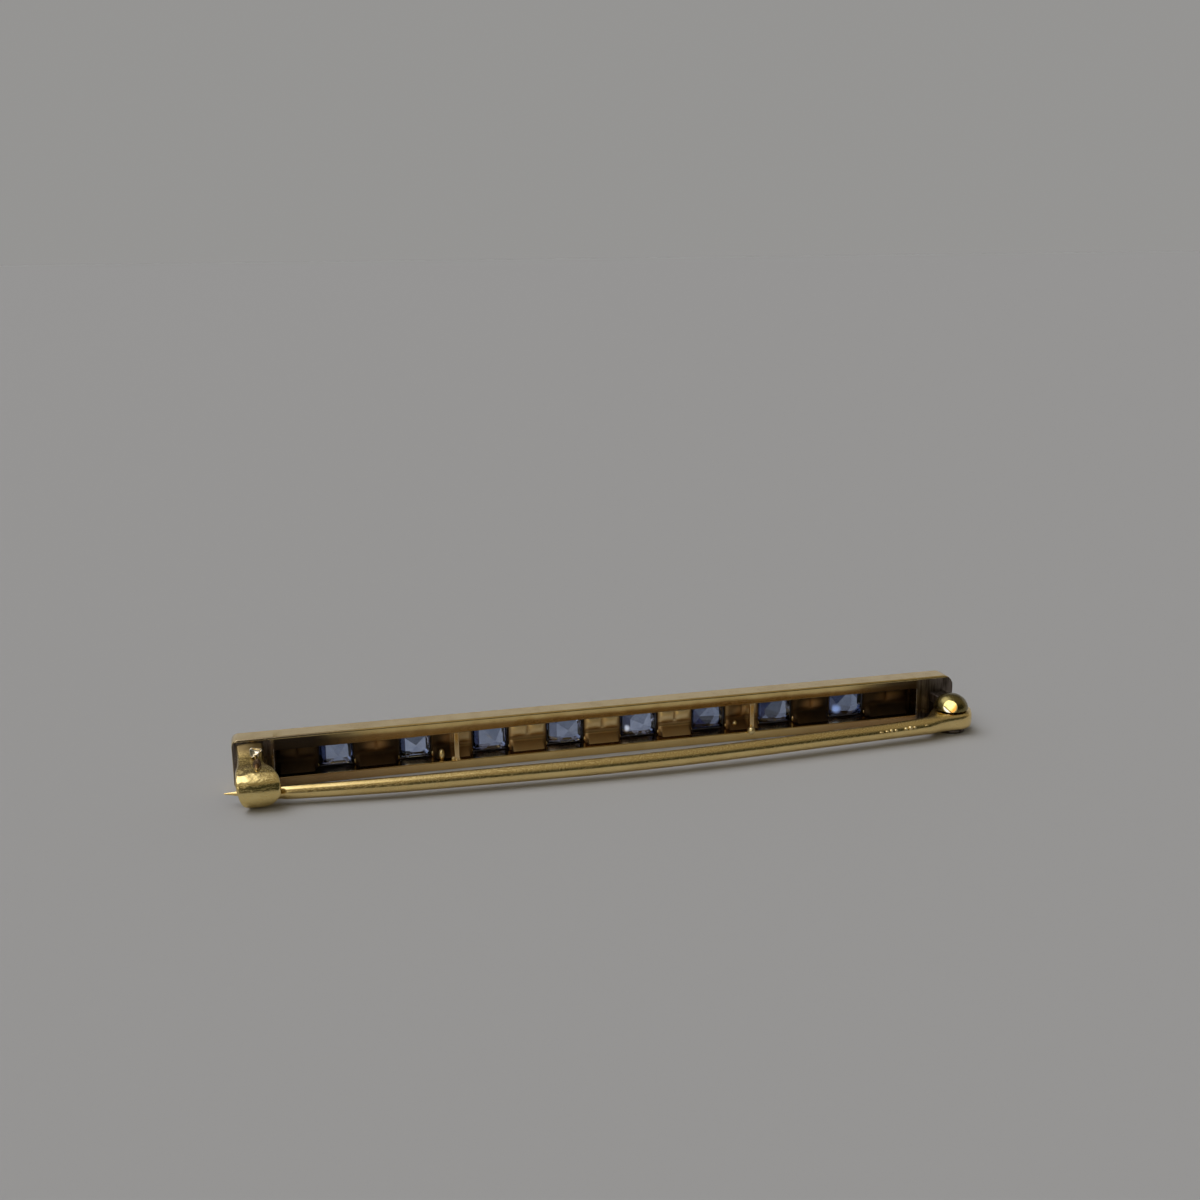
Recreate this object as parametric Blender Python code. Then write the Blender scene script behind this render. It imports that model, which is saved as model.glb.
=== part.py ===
"""An antique gold bar brooch with eight square sapphires, standing on its long lower side.

X runs along the bar, from the catch to the hinge. The open back faces -Y and the front with the stones +Y.
Sizes are in millimetres, and every mesh is made in metres. Depths are measured from the back plane of the
rails, and "out" is a distance behind that plane, towards -Y.
"""

import math
from collections import namedtuple

import bmesh
import bpy
from mathutils import Matrix, Vector

MM = 0.001

# The bar: a channel with an open back
BAR_LENGTH = 52.0
BAR_HEIGHT = 3.49
BAR_DEPTH = 1.70
CORNER_RADIUS = 0.45
FRONT_ROUNDING = 0.28
BACK_ROUNDING = 0.08
UPPER_RAIL = 0.80
LOWER_RAIL = 0.62
CHANNEL_START = -23.31
CHANNEL_END = 23.05
CHANNEL_DEPTH = 1.21

# The eight windows and their stones, from the catch to the hinge, with the real thing's uneven spacing
Window = namedtuple("Window", "centre width")
WINDOWS = (
    Window(-19.23, 2.26),
    Window(-13.90, 2.14),
    Window(-8.68, 2.41),
    Window(-3.35, 2.58),
    Window(2.03, 2.62),
    Window(7.24, 2.40),
    Window(12.39, 2.52),
    Window(17.97, 2.66),
)
WINDOW_LOW = 0.74
WINDOW_HIGH = 2.57
COLLET_RIM = 0.26
COLLET_RISE = 0.18
STONE_GAP = 0.05

# One step-cut stone: depth of each level from the back plane, and its size as a share of the girdle
StoneLevel = namedtuple("StoneLevel", "depth share")
STONE_LEVELS = (
    StoneLevel(0.88, 0.30),
    StoneLevel(1.12, 0.66),
    StoneLevel(1.44, 1.00),
    StoneLevel(1.54, 1.00),
    StoneLevel(1.78, 0.84),
    StoneLevel(1.96, 0.62),
)
STONE_CORNER = 0.16
STONE_CORNER_LEAST = 0.08

# The two stays that cross the open back, with a bead of solder at the foot of each
STAYS = (-11.18, 10.22)
STAY_WIDTH = 0.42
STAY_START = 0.10
STAY_END = 0.55
STAY_JOINED = 0.20
SOLDER_RADIUS = 0.24

# The catch: a strip that leaves the end block, falls a little, and turns down round the pin
CATCH_THICKNESS = 0.34
CATCH_CENTRE_OUT = 3.17
CATCH_CENTRE_HEIGHT = 1.20
CATCH_RADIUS = 1.20
CATCH_TANGENT = math.radians(8)
NeckStation = namedtuple("NeckStation", "out left right")
NECK = (
    NeckStation(0.06, -25.64, -23.96),
    NeckStation(0.90, -25.52, -23.98),
    NeckStation(1.90, -25.60, -23.92),
    NeckStation(2.40, -25.76, -23.56),
    NeckStation(3.00, -25.82, -23.28),
)
BarrelStation = namedtuple("BarrelStation", "angle left right")
BARREL = (
    BarrelStation(8, -25.83, -23.22),
    BarrelStation(30, -25.84, -23.12),
    BarrelStation(52, -25.84, -23.06),
    BarrelStation(76, -25.78, -23.06),
    BarrelStation(100, -25.66, -23.10),
    BarrelStation(118, -25.50, -23.30),
    BarrelStation(138, -25.30, -23.58),
    BarrelStation(160, -25.20, -23.88),
    BarrelStation(185, -25.14, -23.96),
    BarrelStation(212, -25.10, -24.04),
)
LUG_LEFT = -25.20
LUG_RIGHT = -24.00
LUG_REACH = 1.75
LUG_THICKNESS = 0.42
LUG_ROOT_THICKNESS = 0.67
NUB_X = -24.42
NUB_OUT = 1.26
NUB_RADIUS = 0.42
NUB_HEIGHT = 0.34
NUB_SHANK = 0.16
NUB_BORE = 0.21

# The hinge: the pin's round head turns between two knuckles
HINGE_X = 24.80
HINGE_OUT = 2.00
HEAD_RADIUS = 1.50
HEAD_LOW = 0.36
HEAD_HIGH = 1.60
DOME_RADIUS = 1.22
DOME_HEIGHT = 1.12
LOWER_KNUCKLE_RADIUS = 1.05
LOWER_KNUCKLE_FOOT = 0.89
BRIDGE_LEFT = 24.10
BRIDGE_RIGHT = 25.30
BRIDGE_HEIGHT = 0.70
RIVET_RADIUS = 0.25
RIVET_BORE = 0.30
RIVET_TOP = 2.20
RIVET_FOOT = 0.04

# The pin: its stem thins to a point in the catch and bows away from the bar between its ends
StemStation = namedtuple("StemStation", "x out height radius")
STEM = (
    StemStation(-26.62, 2.36, 0.78, 0.04),
    StemStation(-25.90, 2.50, 0.79, 0.14),
    StemStation(-25.00, 2.74, 0.80, 0.25),
    StemStation(-24.20, 2.93, 0.80, 0.32),
    StemStation(-23.10, 3.10, 0.80, 0.38),
    StemStation(-21.90, 3.28, 0.80, 0.42),
    StemStation(-16.00, 3.85, 0.82, 0.47),
    StemStation(-9.00, 4.20, 0.85, 0.50),
    StemStation(-2.00, 4.47, 0.88, 0.51),
    StemStation(4.00, 4.50, 0.90, 0.52),
    StemStation(9.00, 4.30, 0.92, 0.52),
    StemStation(14.00, 3.98, 0.94, 0.53),
    StemStation(19.00, 3.62, 0.96, 0.56),
    StemStation(22.20, 3.36, 0.98, 0.61),
    StemStation(24.20, 2.95, 0.98, 0.62),
)
STEM_SIDES = 12
STEM_STEPS = 3

ROUND_SIDES = 32
SMALL_SIDES = 20
DOME_STEPS = 8
CORNER_STEPS = 4
SHARP_ANGLE = math.radians(35)
# The gap between pieces that meet
RUNNING_GAP = 0.06
# How far a soldered piece reaches into the end block, and a cutter past what it cuts
JOINED_DEPTH = 0.30
CUT_PAST = 1.0

# The brooch stands centred over the origin
LEFT_REACH = STEM[0].x
RIGHT_REACH = HINGE_X + HEAD_RADIUS
FRONT_REACH = STONE_LEVELS[-1].depth
BACK_REACH = -max(station.out + station.radius for station in STEM)
CENTRE_X = (LEFT_REACH + RIGHT_REACH) / 2
CENTRE_Y = (FRONT_REACH + BACK_REACH) / 2


def clear_scene():
    for item in list(bpy.data.objects):
        bpy.data.objects.remove(item, do_unlink=True)


def metal(name, colour, roughness):
    """A polished or worn gold."""
    finish = bpy.data.materials.new(name)
    finish.use_nodes = True
    shader = finish.node_tree.nodes["Principled BSDF"]
    shader.inputs["Base Color"].default_value = (*colour, 1.0)
    shader.inputs["Metallic"].default_value = 1.0
    shader.inputs["Roughness"].default_value = roughness
    return finish


def gem(name, colour):
    """A clear blue stone."""
    finish = bpy.data.materials.new(name)
    finish.use_nodes = True
    shader = finish.node_tree.nodes["Principled BSDF"]
    shader.inputs["Base Color"].default_value = (*colour, 1.0)
    shader.inputs["Roughness"].default_value = 0.03
    shader.inputs["Metallic"].default_value = 0.0
    shader.inputs["IOR"].default_value = 1.77
    shader.inputs["Transmission Weight"].default_value = 0.9
    return finish


def empty(name, place, parent=None):
    holder = bpy.data.objects.new(name, None)
    bpy.context.collection.objects.link(holder)
    holder.location = Vector(place) * MM
    holder.parent = parent
    return holder


def piece(name, mesh_builder, parent, finish=None, smooth=False):
    """One object from a bmesh in millimetres."""
    mesh_builder.normal_update()
    bmesh.ops.recalc_face_normals(mesh_builder, faces=mesh_builder.faces)
    bmesh.ops.scale(mesh_builder, vec=(MM, MM, MM), verts=mesh_builder.verts)
    mesh = bpy.data.meshes.new(name)
    mesh_builder.to_mesh(mesh)
    mesh_builder.free()
    if smooth:
        mesh.shade_smooth()
        mesh.set_sharp_from_angle(angle=SHARP_ANGLE)
    made = bpy.data.objects.new(name, mesh)
    bpy.context.collection.objects.link(made)
    made.parent = parent
    if finish:
        mesh.materials.append(finish)
    return made


def apply_tool(target, tool, operation):
    """Join a tool to a piece, or cut it out of it. The tool stays as a hidden guide."""
    tool.hide_render = True
    tool.display_type = "WIRE"
    change = target.modifiers.new(tool.name, "BOOLEAN")
    change.operation = operation
    change.solver = "EXACT"
    change.object = tool


def skin(builder, rings):
    """Join rings of points in order and close both ends."""
    count = len(rings[0])
    made = [[builder.verts.new(point) for point in ring] for ring in rings]
    for lower, upper in zip(made, made[1:]):
        for i in range(count):
            j = (i + 1) % count
            builder.faces.new((lower[i], lower[j], upper[j], upper[i]))
    builder.faces.new(list(reversed(made[0])))
    builder.faces.new(made[-1])


def add_box(builder, low, high):
    corners = [(low[0], low[1]), (high[0], low[1]), (high[0], high[1]), (low[0], high[1])]
    skin(builder, [[(x, y, z) for x, y in corners] for z in (low[2], high[2])])


def rounded_outline(inset):
    """The bar's outline seen from the front, with rounded corners, drawn in by an inset."""
    half = BAR_LENGTH / 2 - inset
    low = inset
    high = BAR_HEIGHT - inset
    radius = CORNER_RADIUS - inset
    centres = (
        (half - radius, high - radius, 0),
        (-half + radius, high - radius, 90),
        (-half + radius, low + radius, 180),
        (half - radius, low + radius, 270),
    )
    points = []
    for x, z, start in centres:
        for step in range(CORNER_STEPS + 1):
            turn = math.radians(start + 90 * step / CORNER_STEPS)
            points.append((x + radius * math.cos(turn), z + radius * math.sin(turn)))
    return points


def bar_solid():
    """The plain bar, with a softened back rim and a rounder front edge."""
    round_half = FRONT_ROUNDING * (1 - math.sqrt(0.5))
    levels = (
        (0.0, BACK_ROUNDING),
        (BACK_ROUNDING, 0.0),
        (BAR_DEPTH - FRONT_ROUNDING, 0.0),
        (BAR_DEPTH - round_half, round_half),
        (BAR_DEPTH, FRONT_ROUNDING),
    )
    builder = bmesh.new()
    skin(builder, [[(x, y, z) for x, z in rounded_outline(inset)] for y, inset in levels])
    return builder


def collets():
    """A low raised rim round each window on the front."""
    builder = bmesh.new()
    for centre, width in WINDOWS:
        reach = width / 2 + COLLET_RIM
        low = (centre - reach, BAR_DEPTH - FRONT_ROUNDING, WINDOW_LOW - COLLET_RIM)
        high = (centre + reach, BAR_DEPTH + COLLET_RISE, WINDOW_HIGH + COLLET_RIM)
        add_box(builder, low, high)
    return builder


def channel():
    builder = bmesh.new()
    low = (CHANNEL_START, -CUT_PAST, LOWER_RAIL)
    high = (CHANNEL_END, CHANNEL_DEPTH, BAR_HEIGHT - UPPER_RAIL)
    add_box(builder, low, high)
    return builder


def windows():
    builder = bmesh.new()
    for centre, width in WINDOWS:
        low = (centre - width / 2, CHANNEL_DEPTH - JOINED_DEPTH, WINDOW_LOW)
        high = (centre + width / 2, BAR_DEPTH + CUT_PAST, WINDOW_HIGH)
        add_box(builder, low, high)
    return builder


def stays():
    """The stays reach a little into both rails, where they are soldered."""
    builder = bmesh.new()
    for centre in STAYS:
        low = (centre - STAY_WIDTH / 2, STAY_START, LOWER_RAIL - STAY_JOINED)
        high = (centre + STAY_WIDTH / 2, STAY_END, BAR_HEIGHT - UPPER_RAIL + STAY_JOINED)
        add_box(builder, low, high)
    return builder


def solder_beads():
    builder = bmesh.new()
    for centre in STAYS:
        foot = (centre - STAY_WIDTH / 2, STAY_START + STAY_JOINED, LOWER_RAIL)
        place = Matrix.Translation(foot)
        bmesh.ops.create_icosphere(builder, subdivisions=2, radius=SOLDER_RADIUS, matrix=place)
    return builder


def neck_line(out):
    """Height of the middle of the catch's strip along its falling neck."""
    radius = CATCH_RADIUS - CATCH_THICKNESS / 2
    meet_out = CATCH_CENTRE_OUT + radius * math.sin(CATCH_TANGENT)
    meet_height = CATCH_CENTRE_HEIGHT + radius * math.cos(CATCH_TANGENT)
    return meet_height + (meet_out - out) * math.tan(CATCH_TANGENT)


def catch_stations():
    """The strip's middle line, its outward direction, and its left and right edges."""
    away = Vector((0, -math.sin(CATCH_TANGENT), math.cos(CATCH_TANGENT)))
    found = []
    for out, left, right in NECK:
        found.append((Vector((0, -out, neck_line(out))), away, left, right))
    radius = CATCH_RADIUS - CATCH_THICKNESS / 2
    centre = Vector((0, -CATCH_CENTRE_OUT, CATCH_CENTRE_HEIGHT))
    for i, (angle, left, right) in enumerate(BARREL):
        for share in (0.0, 0.5):
            if share and i + 1 == len(BARREL):
                continue
            after = BARREL[min(i + 1, len(BARREL) - 1)]
            turn = math.radians(angle + (after[0] - angle) * share)
            away = Vector((0, -math.sin(turn), math.cos(turn)))
            edge_left = left + (after[1] - left) * share
            edge_right = right + (after[2] - right) * share
            found.append((centre + away * radius, away, edge_left, edge_right))
    return found


def catch_solid():
    half = CATCH_THICKNESS / 2
    rings = []
    for middle, away, left, right in catch_stations():
        outer = middle + away * half
        inner = middle - away * half
        rings.append([
            (left, outer.y, outer.z),
            (right, outer.y, outer.z),
            (right, inner.y, inner.z),
            (left, inner.y, inner.z),
        ])
    builder = bmesh.new()
    skin(builder, rings)
    return builder


def catch_lug():
    """The lug on the end block, under the catch's neck and parallel to it."""
    under = CATCH_THICKNESS / 2 / math.cos(CATCH_TANGENT) + RUNNING_GAP
    rings = []
    for x in (LUG_LEFT, LUG_RIGHT):
        top_back = neck_line(-JOINED_DEPTH) - under
        top_front = neck_line(LUG_REACH) - under
        rings.append([
            (x, JOINED_DEPTH, top_back),
            (x, -LUG_REACH, top_front),
            (x, -LUG_REACH, top_front - LUG_THICKNESS),
            (x, JOINED_DEPTH, top_back - LUG_ROOT_THICKNESS),
        ])
    builder = bmesh.new()
    skin(builder, rings)
    return builder


def turned(profile, sides=ROUND_SIDES):
    """A solid of revolution about Z from a list of (radius, height), both ends on the axis."""
    builder = bmesh.new()
    lowest = builder.verts.new((0, 0, profile[0][1]))
    highest = builder.verts.new((0, 0, profile[-1][1]))
    rings = []
    for radius, height in profile[1:-1]:
        ring = []
        for i in range(sides):
            turn = 2 * math.pi * i / sides
            ring.append(builder.verts.new((radius * math.cos(turn), radius * math.sin(turn), height)))
        rings.append(ring)
    for i in range(sides):
        j = (i + 1) % sides
        builder.faces.new((lowest, rings[0][j], rings[0][i]))
        builder.faces.new((highest, rings[-1][i], rings[-1][j]))
        for lower, upper in zip(rings, rings[1:]):
            builder.faces.new((lower[i], lower[j], upper[j], upper[i]))
    return builder


def cylinder(radius, low, high):
    return turned([(0, low), (radius, low), (radius, high), (0, high)], SMALL_SIDES)


def nub_place():
    """Where the nub stands on the sloping neck, with its axis square to it."""
    foot = Vector((NUB_X, -NUB_OUT, neck_line(NUB_OUT)))
    return Matrix.Translation(foot) @ Matrix.Rotation(CATCH_TANGENT, 4, "X")


def catch_rivet_solid():
    seat = CATCH_THICKNESS / 2 + RUNNING_GAP
    foot = -CATCH_THICKNESS / 2 - RUNNING_GAP - LUG_THICKNESS
    profile = [(0, foot), (NUB_SHANK, foot), (NUB_SHANK, seat)]
    for step in range(DOME_STEPS):
        turn = math.pi / 2 * step / DOME_STEPS
        profile.append((NUB_RADIUS * math.cos(turn), seat + NUB_HEIGHT * math.sin(turn)))
    profile.append((0, seat + NUB_HEIGHT))
    builder = turned(profile, SMALL_SIDES)
    bmesh.ops.transform(builder, matrix=nub_place(), verts=builder.verts)
    return builder


def nub_bore():
    builder = cylinder(NUB_BORE, -2 * CUT_PAST, CUT_PAST)
    bmesh.ops.transform(builder, matrix=nub_place(), verts=builder.verts)
    return builder


def upper_knuckle():
    """The dome over the pin's head."""
    base = HEAD_HIGH + RUNNING_GAP
    profile = [(0, base)]
    for step in range(DOME_STEPS):
        turn = math.pi / 2 * step / DOME_STEPS
        profile.append((DOME_RADIUS * math.cos(turn), base + DOME_HEIGHT * math.sin(turn)))
    profile.append((0, base + DOME_HEIGHT))
    builder = turned(profile)
    bmesh.ops.translate(builder, vec=(HINGE_X, -HINGE_OUT, 0), verts=builder.verts)
    return builder


def lower_knuckle():
    top = HEAD_LOW - RUNNING_GAP
    profile = [(0, 0), (LOWER_KNUCKLE_FOOT, 0), (LOWER_KNUCKLE_RADIUS, top / 2)]
    profile += [(LOWER_KNUCKLE_RADIUS, top), (0, top)]
    builder = turned(profile)
    bmesh.ops.translate(builder, vec=(HINGE_X, -HINGE_OUT, 0), verts=builder.verts)
    return builder


def bridges():
    """Two short arms from the end block to the knuckles, above and below the pin's head."""
    builder = bmesh.new()
    base = HEAD_HIGH + RUNNING_GAP
    add_box(builder, (BRIDGE_LEFT, -HINGE_OUT, base), (BRIDGE_RIGHT, JOINED_DEPTH, base + BRIDGE_HEIGHT))
    add_box(builder, (BRIDGE_LEFT, -HINGE_OUT, 0.0), (BRIDGE_RIGHT, JOINED_DEPTH, HEAD_LOW - RUNNING_GAP))
    return builder


def rivet_bore():
    """Open below and blind inside the dome."""
    builder = cylinder(RIVET_BORE, -CUT_PAST, RIVET_TOP + RUNNING_GAP)
    bmesh.ops.translate(builder, vec=(HINGE_X, -HINGE_OUT, 0), verts=builder.verts)
    return builder


def head_solid():
    """The pin's flat round head with a round rim, about the hinge's axis."""
    half = (HEAD_HIGH - HEAD_LOW) / 2
    middle = (HEAD_HIGH + HEAD_LOW) / 2
    flat = HEAD_RADIUS - half
    profile = [(0, HEAD_LOW)]
    for step in range(DOME_STEPS + 1):
        turn = -math.pi / 2 + math.pi * step / DOME_STEPS
        profile.append((flat + half * math.cos(turn), middle + half * math.sin(turn)))
    profile.append((0, HEAD_HIGH))
    return turned(profile)


def smooth_between(before, start, end, after, share):
    """A point on a smooth curve through a column's values."""
    a = 2 * start
    b = end - before
    c = 2 * before - 5 * start + 4 * end - after
    d = 3 * start - before - 3 * end + after
    return (a + b * share + c * share**2 + d * share**3) / 2


def stem_line():
    """The stem's stations with smooth steps between them."""
    rows = [STEM[0], *STEM, STEM[-1]]
    line = []
    for i in range(1, len(rows) - 2):
        for step in range(STEM_STEPS):
            share = step / STEM_STEPS
            line.append([smooth_between(*column, share) for column in zip(*rows[i - 1:i + 3])])
    line.append(list(STEM[-1]))
    return line


def stem_solid():
    """The round stem, about the hinge's axis."""
    rings = []
    line = stem_line()
    for i, (x, out, height, radius) in enumerate(line):
        before = line[max(i - 1, 0)]
        after = line[min(i + 1, len(line) - 1)]
        along = Vector((after[0] - before[0], before[1] - after[1], after[2] - before[2])).normalized()
        side = along.cross(Vector((0, 0, 1))).normalized()
        up = side.cross(along)
        middle = Vector((x - HINGE_X, HINGE_OUT - out, height))
        ring = []
        for k in range(STEM_SIDES):
            turn = 2 * math.pi * (k + 0.5) / STEM_SIDES
            ring.append(middle + (side * math.cos(turn) + up * math.sin(turn)) * radius)
        rings.append(ring)
    builder = bmesh.new()
    skin(builder, rings)
    return builder


def stone_outline(half_width, half_height, corner):
    """A square outline with cut corners."""
    return (
        (half_width, half_height - corner),
        (half_width - corner, half_height),
        (-half_width + corner, half_height),
        (-half_width, half_height - corner),
        (-half_width, -half_height + corner),
        (-half_width + corner, -half_height),
        (half_width - corner, -half_height),
        (half_width, -half_height + corner),
    )


def stone_solid(width):
    """A step-cut stone: a table and two crown steps in front, two pavilion steps behind."""
    half_width = width / 2 - STONE_GAP
    half_height = (WINDOW_HIGH - WINDOW_LOW) / 2 - STONE_GAP
    rings = []
    for depth, share in STONE_LEVELS:
        shrink = (1 - share) * half_height
        corner = max(STONE_CORNER * share, STONE_CORNER_LEAST)
        outline = stone_outline(half_width - shrink, half_height - shrink, corner)
        rings.append([(x, depth, z) for x, z in outline])
    builder = bmesh.new()
    skin(builder, rings)
    return builder


def build():
    clear_scene()
    old_gold = metal("old_gold", (0.62, 0.44, 0.16), 0.28)
    catch_gold = metal("catch_gold", (0.72, 0.54, 0.21), 0.16)
    pin_gold = metal("pin_gold", (0.68, 0.50, 0.20), 0.24)
    sapphire = gem("sapphire", (0.10, 0.17, 0.42))

    brooch = empty("brooch", (-CENTRE_X, -CENTRE_Y, 0.0))
    hinge_axis = empty("hinge_axis", (HINGE_X, -HINGE_OUT, 0.0), brooch)

    frame = piece("bar_frame", bar_solid(), brooch, old_gold, smooth=True)
    steps = (
        ("collet_guide", collets(), "UNION"),
        ("channel_guide", channel(), "DIFFERENCE"),
        ("window_guide", windows(), "DIFFERENCE"),
        ("stay_guide", stays(), "UNION"),
        ("solder_guide", solder_beads(), "UNION"),
        ("lug_guide", catch_lug(), "UNION"),
        ("bridge_guide", bridges(), "UNION"),
        ("dome_guide", upper_knuckle(), "UNION"),
        ("lower_knuckle_guide", lower_knuckle(), "UNION"),
        ("rivet_bore_guide", rivet_bore(), "DIFFERENCE"),
        ("nub_bore_guide", nub_bore(), "DIFFERENCE"),
    )
    tools = {}
    for name, solid, operation in steps:
        tools[name] = piece(name, solid, brooch)
        apply_tool(frame, tools[name], operation)

    catch = piece("catch", catch_solid(), brooch, catch_gold, smooth=True)
    apply_tool(catch, tools["nub_bore_guide"], "DIFFERENCE")
    piece("catch_rivet", catch_rivet_solid(), brooch, catch_gold, smooth=True)

    pin = piece("pin_stem", head_solid(), hinge_axis, pin_gold, smooth=True)
    stem = piece("stem_guide", stem_solid(), hinge_axis)
    apply_tool(pin, stem, "UNION")
    apply_tool(pin, tools["rivet_bore_guide"], "DIFFERENCE")
    piece("hinge_rivet", cylinder(RIVET_RADIUS, RIVET_FOOT, RIVET_TOP), hinge_axis, old_gold, smooth=True)

    for i, (centre, width) in enumerate(WINDOWS, 1):
        stone = piece(f"sapphire_{i}", stone_solid(width), brooch, sapphire)
        stone.location = Vector((centre, 0, (WINDOW_LOW + WINDOW_HIGH) / 2)) * MM


build()
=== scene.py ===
"""A slim gold bar brooch with eight blue stones, seen from its open back.

It stands on its long lower side. The catch is at the left, near the camera, and the hinge at the right.
Sizes are in millimetres, and MM turns them into metres.
"""

import math
from collections import namedtuple

import bmesh
import bpy
from mathutils import Matrix, Vector, noise


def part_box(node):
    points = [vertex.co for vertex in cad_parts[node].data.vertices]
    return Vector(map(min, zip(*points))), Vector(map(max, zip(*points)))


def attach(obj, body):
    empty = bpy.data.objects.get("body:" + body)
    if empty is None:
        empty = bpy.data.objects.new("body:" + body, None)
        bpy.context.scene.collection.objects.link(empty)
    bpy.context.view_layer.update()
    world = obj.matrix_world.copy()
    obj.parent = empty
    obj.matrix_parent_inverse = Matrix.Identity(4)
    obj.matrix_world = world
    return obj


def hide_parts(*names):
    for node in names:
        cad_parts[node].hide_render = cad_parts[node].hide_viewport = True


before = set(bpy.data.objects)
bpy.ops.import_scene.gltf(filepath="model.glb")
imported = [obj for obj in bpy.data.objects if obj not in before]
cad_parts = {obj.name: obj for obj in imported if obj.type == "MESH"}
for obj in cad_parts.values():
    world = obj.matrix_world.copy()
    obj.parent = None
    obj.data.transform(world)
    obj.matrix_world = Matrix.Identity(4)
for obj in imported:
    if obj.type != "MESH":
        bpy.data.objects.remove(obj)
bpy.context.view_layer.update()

# The camera stands close to the brooch, a little to the left of its middle, and looks down at it.
# It has the reference's viewing angle. The brooch fills the middle of the frame.
MM = 0.001
CAMERA_PLACE = Vector((-23.77, -88.29, 34.34)) * MM
CAMERA_YAW = math.radians(14.31)
CAMERA_PITCH = math.radians(14.03)
CAMERA_ROLL = math.radians(-0.61)
camera_data = bpy.data.cameras.new("view_from_the_back")
camera_data.lens = 42.0
camera_data.sensor_width = 36.0
camera_data.clip_start = 2 * MM
camera_data.clip_end = 30.0
camera = bpy.data.objects.new("view_from_the_back", camera_data)
bpy.context.scene.collection.objects.link(camera)
level = Matrix.Rotation(-CAMERA_YAW, 4, "Z")
tilted = Matrix.Rotation(math.pi / 2 - CAMERA_PITCH, 4, "X")
rolled = Matrix.Rotation(CAMERA_ROLL, 4, "Z")
camera.matrix_world = Matrix.Translation(CAMERA_PLACE) @ level @ tilted @ rolled
bpy.context.scene.camera = camera

# The light is all in the sky, so that it falls evenly: a wide soft patch overhead to the left, a small
# window at the left, a pale far wall and a dark side behind the camera. The camera sees plain pale grey.


class Wire:
    """An output of a shader node. Sums of wires and numbers add the Math nodes that work them out."""

    def __init__(self, tree, socket=None):
        self.tree = tree
        self.socket = socket

    def node(self, kind, settings, sockets, output=0):
        """Any node: its settings are set first, then the values or links of its sockets."""
        made = self.tree.nodes.new(kind)
        for name, value in settings.items():
            setattr(made, name, value)
        for name, value in sockets.items():
            entry = self.find(made.inputs, name)
            if isinstance(value, Wire):
                self.tree.links.new(value.socket, entry)
            else:
                entry.default_value = value
        return Wire(self.tree, self.find(made.outputs, output) if made.outputs else None)

    @staticmethod
    def find(sockets, name):
        """A socket by its number, its identifier or its name."""
        if isinstance(name, int):
            return sockets[name]
        for socket in sockets:
            if socket.identifier == name:
                return socket
        return sockets[name]

    def maths(self, operation, *values):
        return self.node("ShaderNodeMath", {"operation": operation}, dict(enumerate(values)))

    def __add__(self, other):
        return self.maths("ADD", self, other)

    def __sub__(self, other):
        return self.maths("SUBTRACT", self, other)

    def __mul__(self, other):
        return self.maths("MULTIPLY", self, other)

    def __truediv__(self, other):
        return self.maths("DIVIDE", self, other)

    def __pow__(self, other):
        return self.maths("POWER", self, other)

    def __abs__(self):
        return self.maths("ABSOLUTE", self)

    def __radd__(self, other):
        return self.maths("ADD", other, self)

    def __rsub__(self, other):
        return self.maths("SUBTRACT", other, self)

    def __rmul__(self, other):
        return self.maths("MULTIPLY", other, self)

    def both(self, other):
        return self.maths("MINIMUM", self, other)

    def either(self, other):
        return self.maths("MAXIMUM", self, other)

    def rise(self, start, end):
        """0 before start and 1 after end, with a soft slope between them."""
        sockets = {"Value": self, "From Min": start, "From Max": end}
        return self.node("ShaderNodeMapRange", {"interpolation_type": "SMOOTHSTEP"}, sockets)

    def blend(self, first, second):
        """The first colour where this is 0 and the second where it is 1."""
        sockets = {"Factor_Float": self, "A_Color": first, "B_Color": second}
        return self.node("ShaderNodeMix", {"data_type": "RGBA"}, sockets, "Result_Color")

    def tinted(self, colour):
        """This colour times another."""
        settings = {"data_type": "RGBA", "blend_type": "MULTIPLY"}
        sockets = {"Factor_Float": 1.0, "A_Color": self, "B_Color": colour}
        return self.node("ShaderNodeMix", settings, sockets, "Result_Color")

    def stretched(self, x, y, z):
        """This vector, scaled along each axis."""
        return self.node("ShaderNodeVectorMath", {"operation": "MULTIPLY"}, {0: self, 1: (x, y, z)})

    def axis(self, name):
        return self.node("ShaderNodeSeparateXYZ", {}, {"Vector": self}, name)

    def cloud(self, scale, detail=2.0, roughness=0.5):
        """Soft noise at this vector, about 0 to 1 round a middle of 0.5."""
        sockets = {"Vector": self, "Scale": scale, "Detail": detail, "Roughness": roughness}
        return self.node("ShaderNodeTexNoise", {}, sockets, "Fac")


PALE_GREY = (0.301, 0.297, 0.290, 1.0)
UPPER_ROOM = (0.22, 0.195, 0.145, 1.0)
FAR_WALL = (0.37, 0.38, 0.43, 1.0)
DARK_SIDE = (0.03, 0.032, 0.022, 1.0)
CORNICE = (0.07, 0.065, 0.05, 1.0)
WINDOW = (2.0, 1.95, 1.85, 1.0)
WINDOW_TOWARDS = (-0.54, -0.68, 0.48)
WINDOW_EDGE = (13, 8)
SKYLIGHT = (2.0, 2.0, 2.04, 1.0)
SKYLIGHT_TOWARDS = (-0.26, 0.20, 0.94)
SKYLIGHT_EDGE = (38, 24)
world = bpy.data.worlds.new("studio")
bpy.context.scene.world = world
world.use_nodes = True
world.node_tree.nodes.clear()
sky = Wire(world.node_tree)
direction = sky.node("ShaderNodeTexCoord", {}, {}, "Generated")


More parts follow.
